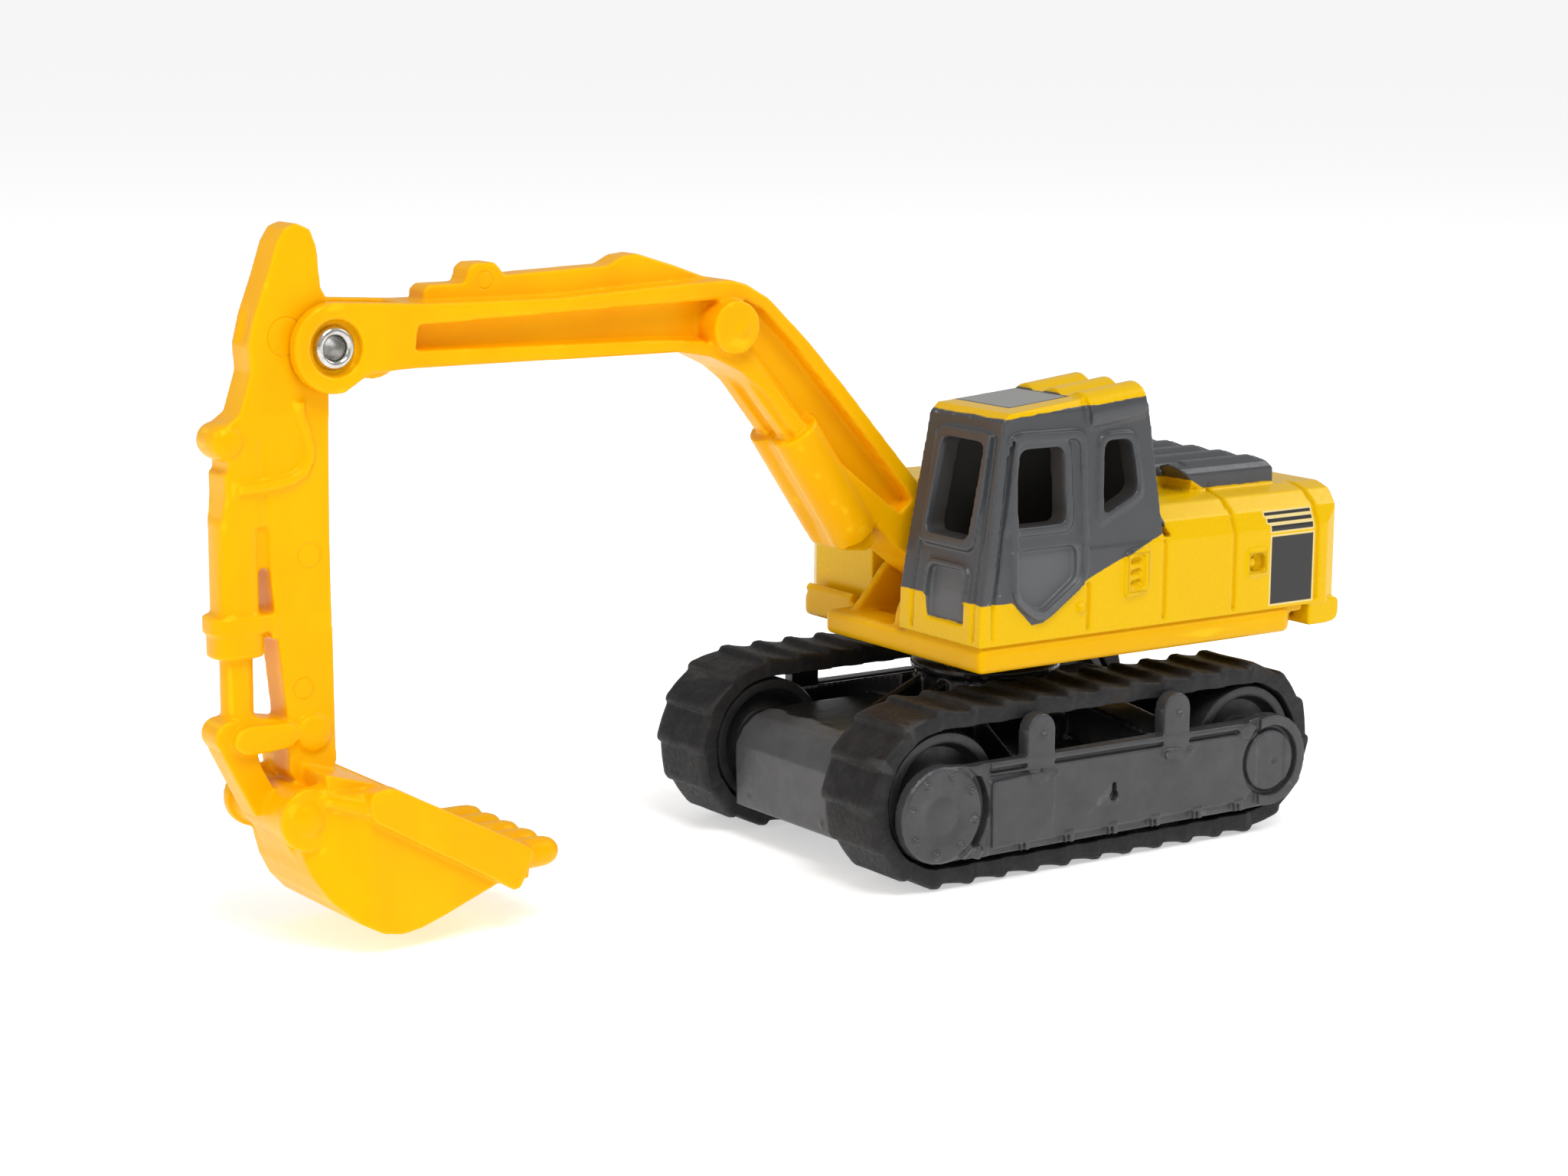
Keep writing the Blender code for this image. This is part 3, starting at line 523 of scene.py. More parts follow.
def casting_look():
    """Enamelled die casting: yellow body, grey cab and hood, roof patch, rear panel and stripes."""
    look = Look("body_enamel")
    x, y, z = look.x, look.y, look.z
    wobble = look.times(look.above(look.noise(1.4, 3.0), 0.5), 0.16)
    z_wavy = look.plus(z, wobble)

    side_line = look.profile(x, [(-5.2, 20.62), (1.5, 18.1), (5.0, 15.75), (5.9, 15.65),
                                 (7.45, 17.15), (10.2, 17.2)])
    front_line = look.profile(y, [(3.0, 17.2), (6.35, 17.2), (6.5, 15.8), (10.0, 15.8),
                                  (10.15, 17.2), (12.2, 17.2)])
    inner_line = look.profile(x, [(-5.2, 20.62), (1.5, 18.1), (2.6, 17.2), (10.2, 17.2)])
    on_front = look.mask(look.above(x, 8.55))
    on_inner = look.mask(look.below(y, 7.0))
    cab_line = look.blend(on_inner, side_line, inner_line)
    cab_line = look.blend(on_front, cab_line, front_line)
    roof_line = look.minus(28.85, look.times(x, 0.075))
    cab = look.least(look.above(x, -4.95), look.above(y, 3.6), look.minus(z_wavy, cab_line),
                     look.minus(roof_line, z_wavy))
    hood_line = look.profile(x, [(-17.0, 22.42), (-10.2, 22.42), (-9.2, 22.95), (-4.0, 23.0)])
    hood = look.least(look.within(x, -16.6, -4.05), look.within(y, -9.4, 9.4),
                      look.minus(z_wavy, hood_line))
    grey = look.mask(look.most(cab, hood), 0.035)

    door_panel = look.least(look.within(x, 2.2, 7.25), look.below(z, 20.25), look.above(y, 10.6),
                            look.minus(look.minus(z, cab_line), 0.28))
    front_panel = look.least(look.within(y, 6.45, 10.05), look.within(z, 15.85, 19.05),
                             look.above(x, 8.9))
    panel = look.mask(look.most(door_panel, front_panel), 0.12)

    patch_field = look.least(look.within(x, 1.7, 6.3), look.within(y, 4.35, 9.7), look.above(z, 28.3))
    patch = look.mask(patch_field)
    patch_line = look.mask(look.minus(0.09, look.math("ABSOLUTE", patch_field)))

    outer_y = look.above(look.math("ABSOLUTE", y), 10.3)
    rear_panel = look.least(look.within(x, -17.35, -13.75), look.within(z, 14.95, 19.3), outer_y)
    print_field = look.mask(rear_panel)
    inset = look.math("ABSOLUTE", look.plus(rear_panel, 0.06))
    print_edge = look.mask(look.minus(0.06, inset), 0.02)
    stripes, stripe_edges = [], []
    for left, low, high in ((-13.3, 20.66, 20.86), (-13.45, 20.22, 20.46), (-13.7, 19.66, 20.02)):
        field = look.least(look.within(x, -17.3, left), look.within(z, low, high), outer_y)
        stripes.append(field)
        stripe_edges.append(look.minus(0.05, look.math("ABSOLUTE", look.plus(field, 0.05))))
    black = look.most(print_field, look.mask(look.most(*stripes), 0.02))
    pale = look.most(print_edge, look.mask(look.most(*stripe_edges), 0.02))

    # dark inside of the cab: bare unpainted metal, darkened further as painted shade
    lean = look.times(look.most(look.above(z, CAB_BREAK_Z), 0.0), 0.175)
    inner_front = look.minus(8.84, lean)
    inside = look.mask(look.least(look.minus(inner_front, x), look.above(x, -3.7),
                                  look.within(y, 4.78, 10.75), look.below(z, 27.45)), 0.04)

    # painted shade: the window reveals, the wall's edge faces in the openings, darkened like the inside
    rise = look.above(z, CAB_BREAK_Z)
    front_face = look.minus(CAB_FRONT_X, look.times(rise, CAB_FRONT_SLOPE))
    front_reveal = look.least(look.minus(look.above(front_face, 0.12), x),
                              look.above(x, 3.0), look.within(y, 5.35, 10.45),
                              look.within(z, 20.6, 27.15))
    side_face = look.minus(SIDE_Y, look.times(rise, CAB_SIDE_SLOPE))
    side_reveal = look.least(look.minus(look.above(side_face, 0.12), y), look.above(y, 8.0),
                             look.within(x, -2.9, 7.7), look.within(z, 21.4, 26.8))
    inside = look.most(inside, look.mask(look.most(front_reveal, side_reveal), 0.04))

    vent = look.least(look.within(x, -3.22, -1.55), look.within(z, 16.95, 19.35), outer_y)
    latch = look.least(look.within(x, -13.2, -11.8), look.within(z, 17.15, 18.4), outer_y)
    # painted shade: a dark line along the edges of the vent and the handle pocket
    outline = look.minus(0.07, look.math("ABSOLUTE", look.most(vent, latch)))
    outline = look.times(look.mask(outline, 0.05), 0.55)

    # painted shade: concave places of the casting, used below to darken the yellow enamel
    hollow = look.edges(0.478, 0.41)
    sharp = look.edges(0.55, 0.68)
    # lighter grey on sharp edges: paint worn to bare metal, and a painted highlight
    worn = look.times(sharp, look.ranged(look.noise(2.4, 6.0, 0.75), 0.56, 0.66, 0.0, 1.0))
    tint = look.ranged(look.noise(0.22, 3.0), 0.3, 0.7, 0.0, 0.16)
    yellow = look.mix(tint, ENAMEL, ENAMEL_DEEP)
    # painted shade in the hollows of the yellow enamel
    yellow = look.mix(look.times(hollow, 0.8), yellow, ENAMEL_SHADE)
    # painted shade line around the vent and the handle pocket
    yellow = look.mix(outline, yellow, ENAMEL_SHADE)
    blotch = look.ranged(look.noise(0.5, 4.0), 0.3, 0.7, 0.0, 0.4)
    grey_tint = look.mix(blotch, PAINT_GREY, (0.060, 0.062, 0.067))
    grey_paint = look.mix(panel, grey_tint, PANEL_GREY)
    # worn metal and painted highlight on the grey paint's sharp edges
    grey_paint = look.mix(look.times(worn, 0.75), grey_paint, (0.42, 0.42, 0.43))
    colour = look.mix(grey, yellow, grey_paint)
    colour = look.mix(patch, colour, ROOF_GREY)
    colour = look.mix(patch_line, colour, (0.05, 0.05, 0.052))
    colour = look.mix(pale, colour, (0.75, 0.62, 0.30))
    colour = look.mix(black, colour, PRINT_BLACK)
    # inside and window reveals take the dark colour: bare metal and painted shade
    colour = look.mix(inside, colour, BARE_METAL_AND_SHADE)

    gloss = look.ranged(look.noise(2.6, 5.0, 0.65), 0.3, 0.7, 0.20, 0.33)
    roughness = look.blend(grey, gloss, look.plus(gloss, 0.09))
    roughness = look.blend(panel, roughness, 0.46)
    roughness = look.blend(patch, roughness, 0.55)
    roughness = look.blend(black, roughness, 0.40)
    roughness = look.blend(inside, roughness, 0.6)
    step = look.most(black, patch)
    grain = look.bump(look.noise(1.6, 4.0, 0.5), 0.02, 0.12)
    specks = look.bump(look.noise(11.0, 2.0, 0.5), 0.008, 0.06, grain)
    normal = look.bump(look.plus(step, look.times(grey, 0.8)), 0.02, 0.7, specks)
    sheen = look.mix(look.most(grey, black, patch), WARM_SHEEN[:3], (1.0, 1.0, 1.0))
    look.set(Base_Color=colour, Roughness=roughness, Normal=normal, IOR=1.5, Specular_Tint=sheen)
    return look.material


def grey_plastic_look(name, dark, light):
    """Grey moulded plastic with a satin, slightly blotchy gloss, painted highlights on its edges and
    painted shade in its corners.
    """
    look = Look(name)
    blotch = look.ranged(look.noise(0.45, 5.0, 0.6), 0.32, 0.7, 0.0, 1.0)
    colour = look.mix(blotch, dark, light)
    patches = look.ranged(look.noise(1.7, 6.0, 0.7), 0.45, 0.7, 0.1, 0.7)
    # painted highlight: convex edges lightened in patches
    edge_highlight = look.times(look.edges(0.56, 0.66), patches)
    colour = look.mix(edge_highlight, colour, (0.22, 0.22, 0.225))
    # painted shade: concave corners darkened nearly to black
    corner_shade = look.times(look.edges(0.485, 0.42), 0.75)
    colour = look.mix(corner_shade, colour, (0.014, 0.014, 0.015))
    roughness = look.ranged(look.noise(2.2, 5.0, 0.7), 0.3, 0.7, 0.30, 0.5)
    normal = look.bump(look.noise(1.3, 4.0, 0.55), 0.05, 0.4)
    normal = look.bump(look.noise(14.0, 2.0), 0.01, 0.5, normal)
    look.set(Base_Color=colour, Roughness=roughness, Normal=normal, IOR=1.5)
    return look.material


def chassis_look():
    """Black moulding whose two sloping ends are sprayed grey up to an uneven line."""
    look = Look("chassis_plastic")
    wobble = look.times(look.above(look.noise(0.9, 4.0), 0.5), 1.3)
    ends = look.above(look.math("ABSOLUTE", look.x), 13.0)
    between_sides = look.below(look.math("ABSOLUTE", look.y), 5.45)
    painted = look.mask(look.least(look.plus(ends, wobble), between_sides), 0.06)
    blotch = look.ranged(look.noise(0.45, 5.0, 0.6), 0.32, 0.7, 0.0, 1.0)
    grey = look.mix(blotch, (0.044, 0.046, 0.049), (0.068, 0.070, 0.074))
    patches = look.ranged(look.noise(1.7, 6.0, 0.7), 0.45, 0.7, 0.1, 0.9)
    # painted highlight: convex edges lightened in patches
    edge_highlight = look.times(look.edges(0.53, 0.62), patches)
    colour = look.mix(painted, (0.010, 0.010, 0.011), grey)
    colour = look.mix(look.times(edge_highlight, 0.6), colour, (0.24, 0.24, 0.245))
    roughness = look.blend(painted, 0.24, look.ranged(look.noise(2.2, 5.0, 0.7), 0.3, 0.7, 0.30, 0.46))
    normal = look.bump(look.noise(1.3, 4.0, 0.55), 0.05, 0.4)
    normal = look.bump(painted, 0.03, 0.8, normal)
    look.set(Base_Color=colour, Roughness=roughness, Normal=normal, IOR=1.5)
    return look.material


def rubber_look():
    """Dull black rubber: dusty patches, mould grain, a lighter, browner upper run and a painted sheen
    on the crests.
    """
    look = Look("belt_rubber")
    dust = look.ranged(look.noise(0.9, 6.0, 0.7), 0.45, 0.75, 0.0, 1.0)
    colour = look.mix(dust, (0.010, 0.010, 0.011), (0.024, 0.024, 0.024))
    # lighter, browner tint in patches on the upper run of the belt
    upper_run = look.mask(look.above(look.z, 8.6), 1.0)
    upper_run_tint = look.times(upper_run, look.ranged(look.noise(0.5, 3.0), 0.5, 0.68, 0, 0.35))
    colour = look.mix(upper_run_tint, colour, (0.034, 0.026, 0.020))
    # painted sheen: crests and convex edges lightened to a grey
    colour = look.mix(look.times(look.edges(0.52, 0.62), 0.4), colour, (0.085, 0.084, 0.083))
    roughness = look.ranged(look.noise(3.0, 5.0, 0.7), 0.3, 0.7, 0.42, 0.68)
    normal = look.bump(look.noise(2.2, 5.0, 0.6), 0.09, 0.5)
    normal = look.bump(look.noise(12.0, 3.0, 0.6), 0.02, 0.6, normal)
    look.set(Base_Color=colour, Roughness=roughness, Normal=normal, IOR=1.5, Specular_IOR_Level=0.22)
    return look.material


def steel_look():
    """Bright drawn steel with fine turning marks and a little grey oxide."""
    look = Look("rivet_steel")
    oxide = look.ranged(look.noise(1.4, 5.0, 0.7), 0.4, 0.75, 0.0, 0.7)
    colour = look.mix(oxide, (0.66, 0.65, 0.62), (0.30, 0.28, 0.25))
    roughness = look.ranged(look.noise(5.0, 4.0, 0.6), 0.3, 0.7, 0.14, 0.34)
    lines = look.noise(7.0, 3.0, 0.5, (1.0, 0.08, 1.0))
    look.set(Base_Color=colour, Roughness=roughness, Normal=look.bump(lines, 0.02, 0.4), Metallic=1.0)
    return look.material


# Pieces -------------------------------------------------------------------------


def side_wall(offset):
    return lambda x, z: SIDE_Y - (z - CAB_BREAK_Z) * CAB_SIDE_SLOPE + offset


def lower_side(offset):
    return lambda x, z: SIDE_Y + offset


def front_wall(offset):
    return lambda y, z: CAB_FRONT_X - max(0.0, z - CAB_BREAK_Z) * CAB_FRONT_SLOPE + offset


def on_side(side, near, far):
    return sorted((side * near, side * far))


def recess(outline, wall, depth, axis="Y"):
    """A cutter from outside a wall to a depth behind it."""
    return skin(outline, wall(-depth), wall(1.0), axis)


def frame_ring(outline, wall, axis, width=0.42, rise=0.17, depth=WALL, radius=0.65):
    """A raised rounded surround that also rounds the corners of the opening it lines."""
    outer = skin(rounded(grow(outline, width), radius + 0.2), wall(-depth), wall(rise), axis)
    inner = skin(rounded(grow(outline, -0.1), radius), wall(-depth - 1.0), wall(1.0), axis)
    return shaped(outer, [("-", inner)])


def ribbon(path, cut, out=0.6):
    """A closed band that straddles an open path, for a groove along it."""
    outside, inside = [], []
    for i, point in enumerate(path):
        before = Vector(path[max(i - 1, 0)])
        after = Vector(path[min(i + 1, len(path) - 1)])
        along = (after - before).normalized()
        normal = Vector((along.y, -along.x))
        outside.append(tuple(Vector(point) + normal * out))
        inside.append(tuple(Vector(point) - normal * cut))
    return outside + inside[::-1]


def cab_steps():
    """Roof, window surrounds, door and panels of the cab."""
    door = [(7.7, 27.4), (1.72, 27.3), (1.58, 18.05), (5.3, 15.62), (7.55, 17.2)]
    left_window = [(7.0, 26.5), (3.4, 26.5), (3.2, 21.6), (7.6, 21.6)]
    rear_window = [(0.35, 26.6), (-2.0, 26.6), (-2.6, 23.1), (0.5, 21.7)]
    front_window = [(10.3, 26.9), (6.0, 26.9), (5.6, 20.8), (10.0, 20.8)]
    steps = Steps()
    steps.add(frame_ring(left_window, side_wall, "Y", 0.42, 0.24))
    steps.add(frame_ring(rear_window, side_wall, "Y", 0.34, 0.22))
    steps.add(frame_ring(front_window, front_wall, "X", 0.55, 0.3))

    ridge = skin(rounded(door, 0.9), side_wall(-0.5), side_wall(0.3))
    hollow = recess(rounded(grow(door, -0.5), 0.7), side_wall, 0.9)
    steps.add(shaped(ridge, [("-", hollow)]))
    panel = [(7.1, 20.25), (2.45, 20.25), (2.4, 18.3), (5.2, 16.4), (7.0, 17.5)]
    steps.cut(recess(rounded(panel, 0.5), side_wall, 0.3))

    apron = [(10.3, 19.4), (6.15, 19.4), (6.2, 17.0), (10.35, 17.0)]
    window_sill = skin(rounded(apron, 0.7), front_wall(-0.4), front_wall(0.22), "X")
    steps.add(window_sill)
    sunk = [(10.0, 19.05), (6.45, 19.05), (6.5, 16.9), (10.05, 16.9)]
    steps.cut(recess(rounded(sunk, 0.6), front_wall, 0.3, "X"))
    below = [(10.05, 17.6), (6.5, 17.6), (6.5, 15.75), (10.0, 15.75)]
    steps.cut(recess(below, front_wall, 0.3, "X"))
    half = 0.14
    for low_y, high_y in ((11.0, 10.75), (5.0, 5.25)):
        groove = [(low_y - half, CAB_BREAK_Z), (low_y + half, CAB_BREAK_Z),
                  (high_y + half, 27.2), (high_y - half, 27.2)]
        steps.cut(recess(groove, front_wall, 0.24, "X"))
        foot = [(low_y - half, 14.9), (low_y + half, 14.9),
                (low_y + half, 17.05), (low_y - half, 17.05)]
        steps.cut(recess(foot, front_wall, 0.24, "X"))
    corner = [(8.78, 15.0), (9.05, 15.0), (9.05, 17.0), (7.55, 27.0), (7.28, 27.0), (8.78, 17.0)]
    steps.cut(recess(corner, side_wall, 0.2))

    above_roof = [(1.35, 29.15), (1.35, 30.5), (-3.5, 30.5), (-3.5, 29.2), (-2.7, 29.5)]
    steps.cut(skin(above_roof, 3.9, 12.0))
    for y in ROOF_RIBS_Y:
        steps.add(tube([(1.45, y, 28.16), (-2.95, y, 28.62)], 1.3, 32))
    return steps


def side_steps():
    """Seams, vent, handle pocket and notch of the engine housing."""
    steps = Steps()
    section = [(SIDE_Y, 14.9), (SIDE_Y, 19.9), (11.35, 21.0), (10.3, 21.9), (9.2, 22.2), (8.6, 22.3)]
    mirrored = [(-y, z) for y, z in reversed(section)]
    for seam_x in (-10.6, -17.75):
        for path in (section, mirrored):
            steps.cut(skin(ribbon(path, 0.24), seam_x - 0.15, seam_x + 0.15, "X"))
    for seam_x, top in ((-4.75, 20.0), (1.45, 17.9)):
        seam = [(seam_x - 0.14, 14.9), (seam_x + 0.14, 14.9),
                (seam_x + 0.14, top), (seam_x - 0.14, top)]
        steps.cut(recess(seam, lower_side, 0.24))
    steps.add(dome((2.05, 0, 16.3), 0.34, SIDE_Y, SIDE_Y + 0.3))

    vent = [(-1.5, 19.35), (-3.3, 19.6), (-3.2, 16.95), (-1.45, 16.7)]
    rim = skin(rounded(grow(vent, 0.1), 0.45), lower_side(-0.4), lower_side(0.26))
    middle = recess(rounded(grow(vent, -0.26), 0.3), lower_side, 0.9)
    steps.add(shaped(rim, [("-", middle)]))
    for i in range(3):
        z = 18.75 - 0.68 * i
        slot = [(-1.98, z + 0.2), (-2.8, z + 0.32), (-2.82, z), (-1.95, z - 0.14)]
        steps.cut(recess(rounded(slot, 0.15), lower_side, 0.22))
    pocket = [(-11.7, 18.5), (-13.3, 18.5), (-13.3, 17.05), (-11.7, 17.05)]
    lip = skin(rounded(grow(pocket, 0.12), 0.4), lower_side(-0.3), lower_side(0.14))
    middle = recess(rounded(grow(pocket, -0.16), 0.3), lower_side, 0.9)
    steps.add(shaped(lip, [("-", middle)]))
    steps.cut(recess(rounded(grow(pocket, -0.16), 0.3), lower_side, 0.4))
    steps.add(dome((-12.15, 0, 17.8), 0.42, SIDE_Y - 0.45, SIDE_Y + 0.05))
    steps.cut(skin([(-4.66, 21.1), (-4.66, 20.1), (-5.4, 20.05)], 10.4, 12.6))

    for side in (-1, 1):
        lug = [(-17.45, 13.35), (-17.45, 14.7), (-19.7, 14.9),
               (-19.95, 14.5), (-19.9, 13.5), (-19.3, 13.2)]
        steps.add(skin(rounded(lug, 0.5), *on_side(side, 9.6, 11.72)))
    return steps


def hood_steps():
    """Full round ribs on the hood with valleys between them."""
    steps = Steps()
    pitch = 2 * HOOD_Y / HOOD_RIBS
    radius = pitch / 2 - 0.06
    for i in range(HOOD_RIBS):
        y = HOOD_Y - pitch * (i + 0.5)
        front = (HOOD_FRONT if i else -9.0) - 0.2
        profile = [(0, HOOD_REAR + 0.05), (0.6, HOOD_REAR + 0.12), (1.02, HOOD_REAR + 0.5)]
        profile += [(radius, HOOD_REAR + 1.1), (radius, front), (0, front)]
        steps.add(turned(profile, (0, y, 22.82), "X", 24))
    for i in range(HOOD_RIBS - 1):
        y = HOOD_Y - pitch * (i + 1)
        valley = [(y - 0.42, 24.4), (y + 0.42, 24.4), (y, 22.85)]
        steps.cut(skin(valley, HOOD_REAR - 0.5, HOOD_FRONT + 0.02, "X"))
    return steps


def casting_piece():
    piece = shaped(cad_copy("body_casting"), cab_steps() + side_steps() + hood_steps())
    return moulded(piece, *CASTING_MOULD)


def deck_piece():
    steps = Steps()
    lip = [(6.7, 14.0), (7.4, 14.0), (7.45, 14.9), (7.2, 15.15), (6.95, 15.0), (6.7, 14.6)]
    steps.add(skin(lip, -9.6, -4.6))
    steps.add(box((-16.8, -3.4), (-11.55, 11.55), (14.2, 14.95)))
    steps.add(box((-4.0, 9.6), (4.0, 11.55), (14.2, 14.95)))
    for side in (-1, 1):
        web = [(4.6, 14.3), (8.9, 14.3), (6.2, 17.4), (4.4, 18.0)]
        steps.add(skin(web, *on_side(side, 2.4, 2.95)))
    piece = shaped(cad_copy("deck"), steps)
    return moulded(piece, *DECK_MOULD)


def boom_piece():
    steps = Steps()
    for side in (-1, 1):
        y0, y1 = on_side(side, 0.5, 1.62)
        disc = side * 3.0
        steps.add(dome((21.5, 0, 33.75), 1.62, disc - side * 0.18, disc))
        steps.add(dome((21.15, 0, 33.65), 0.5, disc - side * 0.06, disc + side * 0.16))
        steps.add(tube([(21.4, side * 1.55, 33.4), (16.2, side * 1.45, 27.2)], 0.62, 14))
        barrel = [(16.2, side * 1.15, 27.1), (12.0, side * 1.15, 21.0), (11.6, side * 1.0, 20.4)]
        steps.add(tube(barrel, 1.55, 20))
        boss = turned([(0, y0), (1.95, y0), (1.95, y1), (0, y1)], (45.0, 0, 33.95), "Y", 28)
        steps.add(shaped(boss, [("-", rod((ARM_PIVOT[0], 0, ARM_PIVOT[1]), 2.3, -4, 4))]))
    web = [(17.3, 26.4), (15.1, 27.9), (10.5, 21.2), (12.7, 19.7)]
    steps.add(skin(rounded(web, 0.5), -1.3, 1.3))
    steps.add(tube([(36.6, 0, 36.5), (28.6, 0, 36.75)], 0.85, 16))
    steps.cut(box((42.9, 51.0), (-1.3, 1.3), (30.0, 38.0)))
    piece = shaped(cad_copy("boom"), steps)
    return moulded(piece, *BOOM_MOULD)


def oval(x, y, corner):
    """A rounded rectangle in plan, for a prism along Z."""
    return rounded([(x[0], -y), (x[1], -y), (x[1], y), (x[0], y)], corner, 5)


def bucket_cylinder_steps():
    """Barrel, flange, gland, rod and clevis of the cylinder in front of the arm."""
    steps = Steps()
    steps.cut(box((51.3, 55.5), (-2.5, 2.5), (13.6, 24.2)))
    steps.add(skin(oval((51.75, 54.2), 1.12, 0.8), 19.0, 24.6, "Z"))
    steps.add(box((50.8, 52.4), (-0.85, 0.85), (21.8, 24.8)))
    steps.cut(skin([(51.35, 21.9), (51.8, 21.8), (51.75, 20.3), (51.25, 20.3)], -2.0, 2.0))
    steps.add(skin(oval((50.9, 54.72), 1.35, 1.3), 18.35, 19.35, "Z"))
    steps.add(skin(oval((51.45, 54.5), 1.3, 1.25), 16.95, 18.6, "Z"))
    steps.add(turned([(0, 12.6), (0.93, 12.7), (0.93, 17.2), (0, 17.3)], (52.95, 0, 0), "Z", 20))
    for side in (-1, 1):
        bar = [(53.4, 13.25), (50.0, 13.15), (50.0, 11.75), (53.2, 11.55), (54.0, 12.3)]
        steps.add(skin(rounded(bar, 0.75), *on_side(side, 0.9, 1.62)))
        groove = [(51.4, 20.6, 1.5), (51.45, 24.0, 1.5), (51.7, 29.0, 1.45)]
        steps.cut(tube([(x, side * y, z) for x, z, y in groove], 0.42, 12))
    steps.add(rod((53.8, 0, 12.6), 0.92, -1.05, 1.05))
    steps.cut(box((53.65, 55.5), (-2.5, 2.5), (27.3, 30.9)))
    knuckle = [(0, -1.45), (0.6, -1.4), (0.95, -1.1), (1.08, -0.5)]
    knuckle += [(1.08, 0.5), (0.95, 1.1), (0.6, 1.4), (0, 1.45)]
    steps.add(turned(knuckle, (53.6, 0, 29.0)))
    return steps


def bucket_steps():
    """Ears, cheek bands and finger-like teeth."""
    steps = Steps()
    steps.cut(box((33.0, 37.2), (-6.0, 6.0), (2.0, 6.0)))
    sill = [(49.6, 10.6), (46.4, 9.65), (44.9, 8.85), (45.3, 8.2), (47.3, 8.6), (49.4, 9.0)]
    steps.add(skin(sill, -4.1, 4.1))
    steps.add(rod(BUCKET_PIN, 1.5, -3.2, 3.2))
    for i in range(TEETH):
        y = (i - (TEETH - 1) / 2) * TOOTH_PITCH
        finger = [(0, 34.98), (0.4, 35.05), (0.72, 35.35), (0.88, 35.85)]
        finger += [(0.92, 36.5), (0.92, 39.2), (0, 39.2)]
        steps.add(turned(finger, (0, y, 4.32), "X", 20))
    for side in (-1, 1):
        band = [(47.6, 8.0), (38.2, 2.5), (37.05, 4.85), (46.3, 9.75), (47.7, 9.5)]
        steps.add(skin(rounded(band, 0.5), *on_side(side, 4.5, 5.68)))
        bar = [(50.0, side * 3.1, 9.35), (48.6, side * 4.3, 8.95), (47.0, side * 5.0, 8.5)]
        steps.add(tube(bar, 0.62, 14))
        steps.add(rod(BUCKET_PIN, 1.8, *on_side(side, 3.0, 3.75), "Y", 28))
        steps.add(dome(BUCKET_PIN, 1.0, side * 3.7, side * 4.1))
    return steps


def arm_piece():
    steps = Steps(bucket_cylinder_steps() + bucket_steps())
    hose = [(49.4, 31.0), (49.42, 30.3), (49.1, 29.4), (48.85, 28.5), (48.85, 27.8), (49.2, 27.1)]
    hose += [(49.9, 26.7), (50.9, 26.5), (52.0, 26.4), (53.2, 26.4)]
    steps.add(tube([(x, 1.18, z) for x, z in hose], 0.36, 12))
    for side in (-1, 1):
        steps.add(dome((48.8, 0, 12.3), 1.05, side * 1.25, side * 1.6))
        bar = [(48.8, 9.0), (48.6, 9.45), (45.4, 8.45), (45.5, 8.05)]
        steps.add(skin(bar, *on_side(side, 2.0, 3.6)))
    notch = [(51.6, 37.0), (53.2, 37.0), (53.2, 33.9), (52.15, 34.3), (51.9, 35.0)]
    steps.cut(skin(notch, -0.5, 0.5))
    piece = shaped(cad_copy("arm_and_bucket"), steps)
    return moulded(piece, *ARM_MOULD)


def chassis_piece():
    steps = Steps()
    for end in (-1, 1):
        for side in (-1, 1):
            steps.add(dome((0, side * 3.9, 2.9), 0.2, end * 15.72, end * 15.84, "X"))
            rib = [(end * 9.2, 8.1), (end * 4.2, 10.2), (end * 4.2, 8.1)]
            steps.add(skin(rib, *on_side(side, 0.9, 1.5)))
    collar = [(4.45, 10.4), (4.85, 10.45), (4.85, 11.0), (4.45, 11.1), (4.2, 11.0), (4.2, 10.4)]
    steps.add(turned(collar, (0, 0, 0), "Z", 40))
    piece = shaped(cad_copy("chassis"), steps)
    return moulded(piece, *CHASSIS_MOULD)


